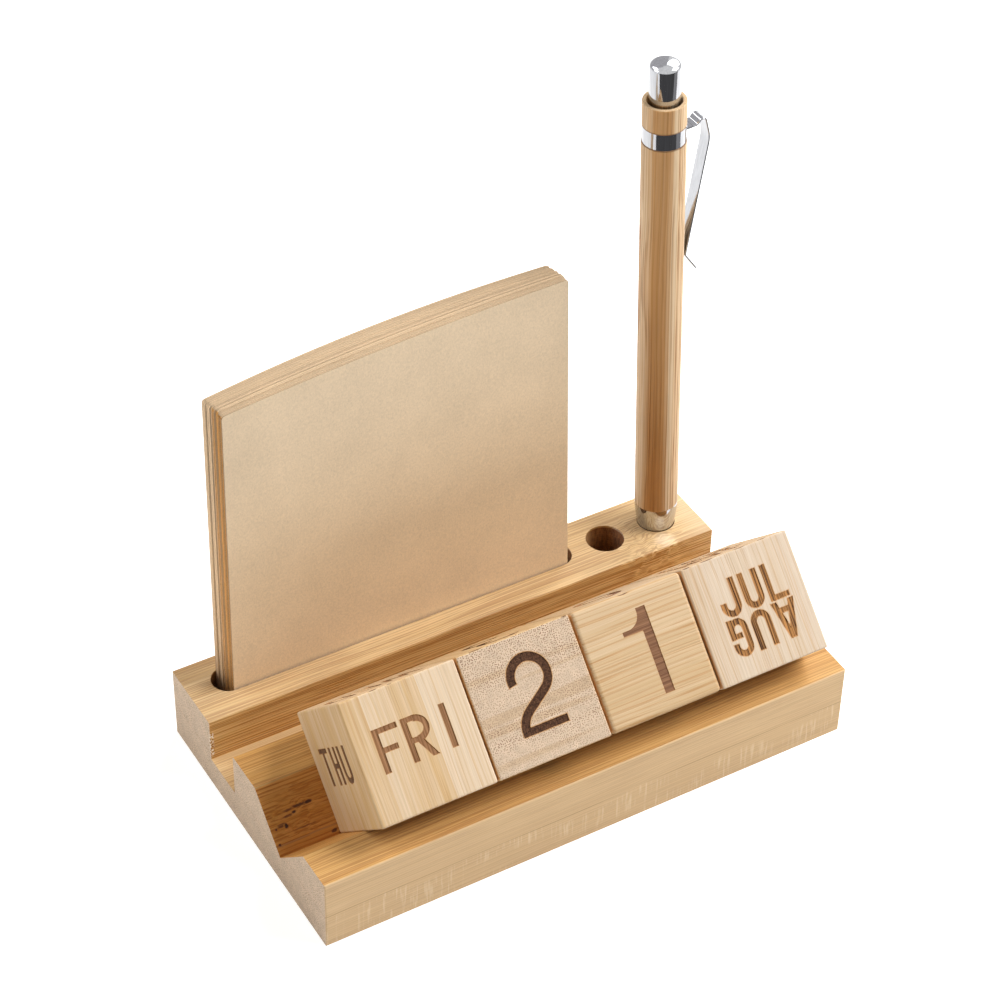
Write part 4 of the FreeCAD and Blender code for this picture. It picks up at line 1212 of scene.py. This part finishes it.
# Middle, half length and half width in mm, and strength.
BLOCK_SPECKS = [
    ((-61.2, -9.95, 14.85), 2.3, 0.42, 0.8), ((-59.3, -10.0, 14.8), 0.9, 0.45, 0.9),
    ((-64.3, -10.1, 14.7), 1.2, 0.28, 0.5), ((-63.2, -10.72, 14.08), 0.55, 0.45, 0.95),
    ((-65.0, -10.96, 13.84), 1.3, 0.35, 0.45), ((-67.2, -11.9, 12.9), 1.0, 0.30, 0.4),
    ((-66.0, -12.38, 12.42), 0.42, 0.62, 1.0), ((-68.6, -12.37, 12.43), 0.35, 0.42, 0.9),
    ((-67.4, -12.2, 12.6), 0.8, 0.25, 0.5), ((-55.7, -15.9, 8.9), 0.9, 0.40, 0.8),
    ((-69.0, -14.8, 9.96), 0.35, 0.40, 0.8), ((-62.0, -13.5, 11.3), 2.6, 0.22, 0.35),
]
# Places on the block, in mm.
GROOVE_MIDDLE = -16.8
RIDGE_MIDDLE = 0.85
SLOT_MIDDLE = 30.1
SEAM_LEVEL = 9.6
TOUCH_LEVEL = 8.0
OUTER_FACE = 38.6
CUBE_ROW_START = -54.8
PALE_SPOT = (57.5, 21.5, 20.0)
PEN_HOLES = ((59.7, 29.3), (44.7, 29.3))
NICK = (-69.7, 18.9)


def block_wood(pale, honey):
    """The block's bamboo, with planing marks, specks and a nick where they lie, and painted shade and light
    in its grooves, slot and pen holes and on some faces.
    """
    wood = Bamboo(
        "block_bamboo", "x", BLOCK_STRIPS, pale, honey, (0.33, 0.15, 0.04), (0.67, 0.51, 0.365),
        (0.27, 0.165, 0.10), knots=BLOCK_KNOTS, bundle_size=0.62, line_strength=0.85, line_pitch=0.74,
        hairlines=0.92, hair_tint=(0.35, 0.15, 0.03), dots=0.6, line_reach=(0.20, 0.42), crowd_low=0.5,
        rare_from=0.28, dim=0.7,
    )
    x, y, z = wood.parts
    upward = wood.normal[2].above(0.85, 0.97)
    # painted light: the faces that look up are painted paler, less on the honey strips
    wood.paint(upward * (0.26 - wood.warm * 0.1), (0.80, 0.66, 0.44))
    # painted shade and painted warm bounce light: the V groove is stained darker and warmer, its rear wall
    # darker still, and the whole groove is then painted a little lighter; the front strip of the top is
    # stained warmer and darker
    groove = z.below(19.7, 19.95) * abs(y - GROOVE_MIDDLE).below(11.9, 12.1) * (1.0 - wood.ending)
    wood.stain(groove, (1.0, 0.86, 0.64))
    wood.stain(groove * y.above(-16.9, -16.7), (1.0, 0.90, 0.80))
    wood.lighten(groove * 0.16)
    wood.stain(upward * y.below(-28.9, -28.7), (0.97, 0.81, 0.56))
    # painted warm bounce light: the ridge beside the cubes, in their shade, is stained warmer as if lit by
    # the cubes' wood; a paler spot by the pen and a paler right end
    ridge_painted_bounce = upward * abs(y - RIDGE_MIDDLE).below(5.6, 5.8) * x.below(-50.0, -10.0)
    wood.stain(ridge_painted_bounce, (0.97, 0.79, 0.50))
    pale_spot = (1.0 - wood.distance(PALE_SPOT) / 3.6 + (wood.thin - 0.5) * 1.2).above(0.0, 0.7)
    wood.paint(pale_spot * upward * 0.32, (0.92, 0.78, 0.60))
    right_end = upward * x.above(62.0, 69.0) * y.above(14.0, 16.0)
    wood.paint(right_end * 0.45, (0.74, 0.56, 0.35))
    # painted light: the inner walls that face the front are painted lighter
    inner = (-wood.normal[1]).above(0.9, 0.98) * y.above(0.0, 10.0)
    wood.lighten(inner * 0.22)
    wood.stain(inner, (1.0, 0.97, 0.90))
    # painted shadow: darker at the foot of the groove along the cube row, where the cubes stand in it
    contact_painted_shadow = (z - TOUCH_LEVEL).below(0.1, 1.1) * groove * (x - CUBE_ROW_START).above(-0.2, 0.2)
    wood.paint(contact_painted_shadow * 0.45, (0.12, 0.05, 0.02))
    # the outer faces are paler than the planed grooves, and the lower layer is brushed across
    outer = (abs(y) - OUTER_FACE).above(0.0, 0.3)
    brushed = wood.grain((x, y, z), (1.3, 0.0, 0.10), 2.0, 0.6)
    where = wood.grain((x, y, z), (0.05, 0.0, 0.15), 1.0)
    wood.paint(outer * 0.62, (0.78, 0.57, 0.345))
    brushed = outer * z.below(9.2, 10.2) * brushed.above(0.50, 0.68) * where.above(0.40, 0.55)
    wood.paint(brushed * 0.55, (0.84, 0.66, 0.44))
    seam = abs(wood.deep - SEAM_LEVEL).below(0.04, 0.22)
    wood.paint(seam * wood.thin.above(0.40, 0.52) * 0.5, (0.36, 0.20, 0.10))
    # dark specks in the knot of the rear wall
    scar = wood.grain((x, y, z), (0.8, 2.0, 2.0), 2.0, 0.6)
    for middle, half_length, half_width, strength in BLOCK_SPECKS:
        ragged = wood.spindle(middle, half_length, half_width) ** 0.5 + (scar - 0.5) * 1.6
        wood.paint((ragged * 0.5).below(0.25, 0.75) * 0.45, (0.22, 0.075, 0.03))
        wood.paint(ragged.below(0.55, 1.05) * strength, (0.045, 0.016, 0.009))
    # painted shade: the memo slot is painted darker inside
    slot = abs(y - SLOT_MIDDLE).below(4.27, 4.40) * z.below(19.3, 19.8)
    slot = slot * x.above(-64.5, -64.0) * x.below(35.5, 36.5)
    wood.paint(slot * 0.7, (0.20, 0.085, 0.03))
    # painted shade: the two pen holes are painted dark inside, with painted light on the walls that face +x
    for middle_x, middle_y in PEN_HOLES:
        bore = wood.measure("LENGTH", wood.joined(x - middle_x, y - middle_y, 0.0))
        bore_painted_shade = bore.below(4.84, 4.98) * z.below(19.2, 19.75)
        charred = wood.grain((x, y, z), (1.5, 1.5, 0.5), 3.0, 0.7)
        darkening = wood.mix(charred.above(0.35, 0.65), (0.13, 0.045, 0.015), (0.29, 0.12, 0.04))
        darkening = wood.mix(wood.normal[0].above(0.05, 0.55) * 0.75, darkening, (0.56, 0.32, 0.15))
        wood.paint(bore_painted_shade * 0.88, darkening)
    # chipped corner of the phone groove
    nick = abs(x - NICK[0]).below(0.3, 0.8) * abs(y - NICK[1]).below(0.2, 0.7)
    nick = nick * z.above(8.5, 10.0) * z.below(15.5, 17.5)
    flakes = wood.grain((x, y, z), (2.0, 2.0, 1.6), 2.0)
    wood.paint(nick * flakes.above(0.50, 0.56), (0.90, 0.80, 0.66))
    wood.paint(nick * flakes.below(0.40, 0.46), (0.30, 0.14, 0.05))
    return wood.done()


class DESKCAL_OT_block(bpy.types.Operator):
    """Finish the grooved block"""

    bl_idname = "desk_calendar.block"
    bl_label = "Finish block"

    def execute(self, context):
        settings = context.scene.desk_calendar_block
        wear("base_block", block_wood(tuple(settings.pale), tuple(settings.honey)))
        return {"FINISHED"}


CUBE_WOOD = dict(line=(0.42, 0.20, 0.06), end=(0.62, 0.43, 0.25), end_dot=(0.32, 0.165, 0.08))
# Each cube's wood and the burn of its letters. Strips run from the left edge of its front face.
CUBE_LOOKS = {
    "weekday": (
        dict(CUBE_WOOD, grain="y", pale=(0.67, 0.525, 0.37), honey=(0.54, 0.34, 0.145), line_strength=0.22,
             line_pitch=0.9, hairlines=0.42, dots=0.14, mottle=0.85, rare_from=0.47,
             strips=[(-14.8, 0.75), (-9.7, 0.28), (-7.0, 0.48), (-2.7, 0.55), (1.0, 0.72), (4.3, -0.35),
                     (7.4, -0.1), (10.0, 0.12), (14.8, 0.12)]),
        # the weekday's letters on its left face are painted darker as shade
        dict(dark=(0.15, 0.062, 0.022), light=(0.40, 0.205, 0.095), rim=0.12, ragged=0.16, grit=2.2,
             painted_left_shade=0.45),
    ),
    "tens": (
        dict(CUBE_WOOD, grain="z", pale=(0.64, 0.46, 0.26), honey=(0.52, 0.33, 0.14), bundle_size=0.52,
             end=(0.64, 0.485, 0.345), end_dot=(0.185, 0.085, 0.04), dots=1.0,
             end_bands=((0.50, 0.335, 0.185), 0.50),
             strips=[(-14.8, 0.2), (14.8, 0.2)],
             dot_bands=[(0.0, 0.45), (0.13, 0.55), (0.14, 0.40), (0.24, 0.90), (0.30, 0.30), (0.31, 0.85),
                        (0.42, 0.60), (0.62, 0.40), (0.78, 0.90), (1.0, 1.0)]),
        dict(dark=(0.016, 0.006, 0.003), light=(0.12, 0.055, 0.028), rim=0.30, ragged=0.12, grit=1.5),
    ),
    "units": (
        dict(CUBE_WOOD, grain="x", pale=(0.615, 0.455, 0.285), honey=(0.485, 0.315, 0.145),
             line_strength=0.25, line_pitch=1.2, hairlines=0.58, hair_tint=(0.43, 0.21, 0.06),
             rare_from=0.33, dots=0.3, mottle=0.6,
             strips=[(-14.8, 0.60), (-5.5, 0.48), (3.0, 0.30), (14.8, 0.25)]),
        dict(dark=(0.13, 0.055, 0.028), light=(0.30, 0.15, 0.075), rim=0.07, ragged=0.08, grit=2.2),
    ),
    "month": (
        dict(CUBE_WOOD, grain="y", pale=(0.615, 0.50, 0.38), honey=(0.52, 0.365, 0.215), line_strength=0.25,
             hairlines=0.38, dots=0.14, mottle=0.85, rare_from=0.45,
             strips=[(-14.8, 0.50), (-9.5, 0.15), (-1.0, 0.25), (6.5, 0.20), (11.5, 0.0), (14.8, 0.0)]),
        dict(dark=(0.05, 0.02, 0.009), light=(0.50, 0.23, 0.07), rim=0.32, ragged=0.42, grit=3.6),
    ),
}
CUBE_SLOTS = {
    "weekday": "striped_bamboo", "tens": "end_grain_bamboo", "units": "plain_bamboo", "month": "pale_bamboo",
}


class DESKCAL_OT_cubes(bpy.types.Operator):
    """Make the four lettered cubes"""

    bl_idname = "desk_calendar.cubes"
    bl_label = "Make cubes"

    def execute(self, context):
        settings = context.scene.desk_calendar_cubes
        radii = {"units": settings.units_edge_radius, "weekday": settings.weekday_edge_radius}
        for name, slot in CUBE_SLOTS.items():
            look, darkening = CUBE_LOOKS[name]
            wood = Bamboo(slot, place=tuple(box_middle(f"{name}_block")), turn=(CUBE_TURN, 0, 0), **look)
            # painted shade: the sides that face another cube, in the gaps between the cubes, are painted
            # darker
            facing = wood.normal[0].above(0.75, 0.97) if name != "month" else 0.0
            facing = facing + ((-wood.normal[0]).above(0.75, 0.97) if name != "weekday" else 0.0)
            wood.paint(facing * 0.6, (0.62, 0.30, 0.10))
            wood.burn(**darkening)
            wood.tear(CHIPS[name])
            radius = radii.get(name, settings.edge_radius)
            piece = make_cube(name, radius / MM, settings.engraving_depth / MM, wood.done())
            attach(piece, f"{name}_cube")
            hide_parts(f"{name}_block")
        return {"FINISHED"}


class DESKCAL_OT_memo_sheets(bpy.types.Operator):
    """Make the stack of memo sheets and finish the front one"""

    bl_idname = "desk_calendar.memo_sheets"
    bl_label = "Make memo sheets"

    def execute(self, context):
        settings = context.scene.desk_calendar_paper
        tints = (settings.face_colour, settings.edge_colour, settings.painted_shade_edge_colour)
        material = kraft("kraft_paper", *(tuple(tint) for tint in tints))
        (left, _, bottom), (right, _, top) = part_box("memo_front_sheet")
        sheet = sheet_mesh("memo_source", left, right, bottom, top, settings.thickness, settings.corner)
        group, sockets = stack_tree(material)
        values = {
            "Sheets": settings.sheets, "Sheets per bunch": settings.sheets / BUNCHES, "Pitch": SHEET_PITCH,
            "Bunch gap": BUNCH_GAP, "Front": STACK_FRONT, "Left": left, "Right": right, "Mouth": BLOCK_TOP,
            "Top": top, **dict(zip(SHIFT_NAMES, BUNCH_SHIFTS)), **STACK_SHAPE,
        }
        stack = baked(added("memo_source", sheet), "memo_stack_sheets", group, sockets, values)
        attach(stack, "memo_stack")
        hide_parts(*[f"memo_bunch_{i + 1}" for i in range(BUNCHES)])
        wear("memo_front_sheet", material)
        return {"FINISHED"}


class DESKCAL_OT_pen(bpy.types.Operator):
    """Finish the pen's pieces, outside and inside"""

    bl_idname = "desk_calendar.pen"
    bl_label = "Finish pen"

    def execute(self, context):
        settings = context.scene.desk_calendar_pen
        barrel = Bamboo(
            "pen_bamboo", "z", PEN_STRIPS, (0.685, 0.52, 0.33), (0.575, 0.31, 0.12), (0.28, 0.115, 0.03),
            (0.60, 0.42, 0.24), (0.36, 0.20, 0.11), place=tuple(PEN_MOUTH), turn=tuple(PEN_TURN.to_euler()),
            bundle_size=0.56, line_strength=0.80, hairlines=0.45, hair_tint=(0.38, 0.17, 0.045), dots=0.3,
            mottle=0.6, line_reach=(0.14, 0.38), line_pitch=0.8,
        )
        for level in RING_LEVELS:
            barrel.paint(abs(barrel.along - level).below(0.10, 0.42) * 0.7, (0.13, 0.05, 0.02))
        chrome = metal("chrome", tuple(settings.chrome_colour), settings.chrome_roughness)
        steel = metal("bright_steel", (0.62, 0.62, 0.63), 0.22)
        finishes = {
            barrel.done(): ("pen_barrel", "pen_collar"),
            chrome: ("pen_ring",),
            metal("liner_brass", (0.80, 0.60, 0.28), 0.3): ("pen_liner",),
            plastic("click_plastic", (0.80, 0.80, 0.78), 0.4):
                ("pen_guide_sleeve", "pen_plunger", "pen_rotor"),
            plastic("refill_plastic", (0.72, 0.76, 0.80), 0.25, 0.3): ("pen_refill_tube",),
            metal("tip_brass", (0.75, 0.58, 0.33), 0.25): ("pen_refill_tip",),
            steel: ("pen_refill_ball",),
        }
        for material, nodes in finishes.items():
            for node in nodes:
                wear(node, material)
        for name, node, body, make, material, slot in (
            ("push_button", "pen_push_button", "button", make_button, chrome, "chrome"),
            ("spring_clip", "pen_clip", "clip", make_clip, chrome, "chrome"),
            ("nose_cone", "pen_nose_cone", "pen", make_nose, chrome, "chrome"),
            ("return_spring", "pen_spring", "pen", make_spring, steel, "bright_steel"),
        ):
            piece = make(name, node, material)
            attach(piece, body)
            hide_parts(node)
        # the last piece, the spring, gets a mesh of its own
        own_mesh(piece)
        return {"FINISHED"}


WHITE = (1.0, 1.0, 1.0, 1.0)
LAMPS = (
    ("key_lamp", (1.05, -0.42, 1.22), 0.95, 35.5),
    ("side_lamp", (-1.30, 0.35, 0.75), 0.8, 6.5),
    ("rear_right_lamp", (1.06, 0.68, 1.02), 0.8, 12.5),
    ("rear_left_lamp", (-0.70, 0.80, 1.10), 0.8, 7.0),
)
LAMP_AIM = Vector((0, 0, 0.04))
SENSOR_WIDTH = 36.0
FLOOR_REACH = 3.0
FLOOR_GLOW = 0.52
FLOOR_MIRROR_GLOW = 0.05
AMBIENT = 0.15
# Dark and grey cards on the floor, and a grey screen behind, that show only in the polished metal: corners
# in metres and glow.
CARD_HEIGHT = 0.0005
CARDS = (
    (((-0.031, 0.003, CARD_HEIGHT), (-1.94, -0.62, CARD_HEIGHT), (1.18, -1.74, CARD_HEIGHT),
      (0.103, -0.045, CARD_HEIGHT)), 0.085),
    (((0.103, -0.045, CARD_HEIGHT), (1.18, -1.74, CARD_HEIGHT), (1.88, -1.02, CARD_HEIGHT),
      (0.133, -0.014, CARD_HEIGHT)), 0.32),
    (((-1.80, 1.00, 0.25), (1.25, 1.65, 0.25), (1.25, 1.65, 2.60), (-1.80, 1.00, 2.60)), 0.60),
)


def pointing(direction):
    """The turn that makes a lamp or a camera look along a direction."""
    return direction.to_track_quat("-Z", "Y")


def glowing(kit, kind, strength, tint=WHITE):
    return kit.node(kind, {}, {"Color": tint, "Strength": strength})


def seen_directly(kit, by_camera, by_mirror):
    """The strength for what the camera sees itself and in a mirror or glass; 0 for what lights a surface."""
    rays = ("Is Camera Ray", "Is Glossy Ray", "Is Transmission Ray")
    camera, mirror, glass = (kit.node("ShaderNodeLightPath", {}, {}, ray) for ray in rays)
    return camera * by_camera + (mirror + glass) * by_mirror


def flat_piece(name, corners, material):
    """One square of the stage."""
    mesh = bpy.data.meshes.new(name)
    mesh.from_pydata(corners, [], [(0, 1, 2, 3)])
    mesh.materials.append(material)
    piece = added(name, mesh)
    return piece


def make_floor():
    """A plain pale floor that stays white round the object's shadow."""
    kit = Finish("floor_paper")
    matt = kit.node("ShaderNodeBsdfDiffuse", {}, {"Color": (0.86, 0.86, 0.86, 1.0)})
    glow = glowing(kit, "ShaderNodeEmission", seen_directly(kit, FLOOR_GLOW, FLOOR_MIRROR_GLOW))
    both = kit.node("ShaderNodeAddShader", {}, {0: matt, 1: glow})
    kit.node("ShaderNodeOutputMaterial", {}, {"Surface": both})
    corners = [(-1, -1), (1, -1), (1, 1), (-1, 1)]
    flat_piece("floor", [(x * FLOOR_REACH, y * FLOOR_REACH, 0.0) for x, y in corners], kit.material)


def make_cards():
    """The cards, hidden from all but glossy rays."""
    for number, (corners, glow) in enumerate(CARDS):
        kit = Finish(f"card_grey_{number}")
        grey = glowing(kit, "ShaderNodeEmission", glow, (0.98, 0.97, 1.0, 1.0))
        kit.node("ShaderNodeOutputMaterial", {}, {"Surface": grey})
        card = flat_piece(f"card_{number}", corners, kit.material)
        for rays in ("camera", "diffuse", "shadow", "transmission", "volume_scatter"):
            setattr(card, f"visible_{rays}", False)


def make_world(scene):
    """White behind the object for the camera and for reflections, and an even pale light on it."""
    scene.world = bpy.data.worlds.new("studio")
    scene.world.use_nodes = True
    scene.world.node_tree.nodes.clear()
    kit = Tree(scene.world.node_tree)
    light = glowing(kit, "ShaderNodeBackground", AMBIENT)
    white = glowing(kit, "ShaderNodeBackground", 1.0)
    mixed = kit.node("ShaderNodeMixShader", {}, {0: seen_directly(kit, 1.0, 1.0), 1: light, 2: white})
    kit.node("ShaderNodeOutputWorld", {}, {"Surface": mixed})


def make_lamp(name, place, size, power):
    """A soft square lamp that looks at the middle of the object."""
    light = bpy.data.lights.new(name, "AREA")
    light.size = size
    light.energy = power
    lamp = added(name, light)
    lamp.location = place
    lamp.rotation_mode = "QUATERNION"
    lamp.rotation_quaternion = pointing(LAMP_AIM - Vector(place))


def make_camera(scene, settings):
    """The camera, which looks down on the object from its left front."""
    camera = bpy.data.cameras.new("camera")
    camera.lens = settings.lens
    camera.sensor_width = SENSOR_WIDTH
    eye = added("camera", camera)
    level = math.cos(settings.elevation)
    aim = Vector((math.sin(settings.azimuth) * level, math.cos(settings.azimuth) * level,
                  -math.sin(settings.elevation)))
    eye.rotation_mode = "QUATERNION"
    eye.rotation_quaternion = pointing(aim) @ Quaternion((0, 0, 1), settings.roll)
    eye.location = settings.eye
    scene.camera = eye


class DESKCAL_OT_stage(bpy.types.Operator):
    """Set the floor, the lamps, the world and the camera"""

    bl_idname = "desk_calendar.stage"
    bl_label = "Set stage"

    def execute(self, context):
        scene = context.scene
        scene.view_settings.view_transform = "Standard"
        make_floor()
        make_cards()
        make_world(scene)
        for lamp in LAMPS:
            make_lamp(*lamp)
        make_camera(scene, scene.desk_calendar_stage)
        return {"FINISHED"}


class DESKCAL_PT_panel(bpy.types.Panel):
    """The calendar's operators"""

    bl_label = "Desk calendar"
    bl_space_type = "VIEW_3D"
    bl_region_type = "UI"
    bl_category = "Desk calendar"

    def draw(self, context):
        for operator in OPERATORS:
            self.layout.operator(operator.bl_idname)
        for name, _ in SETTINGS:
            group = getattr(context.scene, name)
            for field in group.bl_rna.properties:
                if field.identifier not in ("rna_type", "name"):
                    self.layout.prop(group, field.identifier)


OPERATORS = (DESKCAL_OT_block, DESKCAL_OT_cubes, DESKCAL_OT_memo_sheets, DESKCAL_OT_pen, DESKCAL_OT_stage)
SETTINGS = (
    ("desk_calendar_block", BlockSettings),
    ("desk_calendar_cubes", CubeSettings),
    ("desk_calendar_paper", PaperSettings),
    ("desk_calendar_pen", PenSettings),
    ("desk_calendar_stage", StageSettings),
)


def register():
    for name, group in SETTINGS:
        bpy.utils.register_class(group)
        setattr(bpy.types.Scene, name, bpy.props.PointerProperty(type=group))
    for operator in OPERATORS:
        bpy.utils.register_class(operator)
    bpy.utils.register_class(DESKCAL_PT_panel)


def unregister():
    bpy.utils.unregister_class(DESKCAL_PT_panel)
    for operator in reversed(OPERATORS):
        bpy.utils.unregister_class(operator)
    for name, group in reversed(SETTINGS):
        delattr(bpy.types.Scene, name)
        bpy.utils.unregister_class(group)


def main():
    register()
    for operator in OPERATORS:
        family, name = operator.bl_idname.split(".")
        getattr(getattr(bpy.ops, family), name)()


if __name__ == "__main__":
    main()
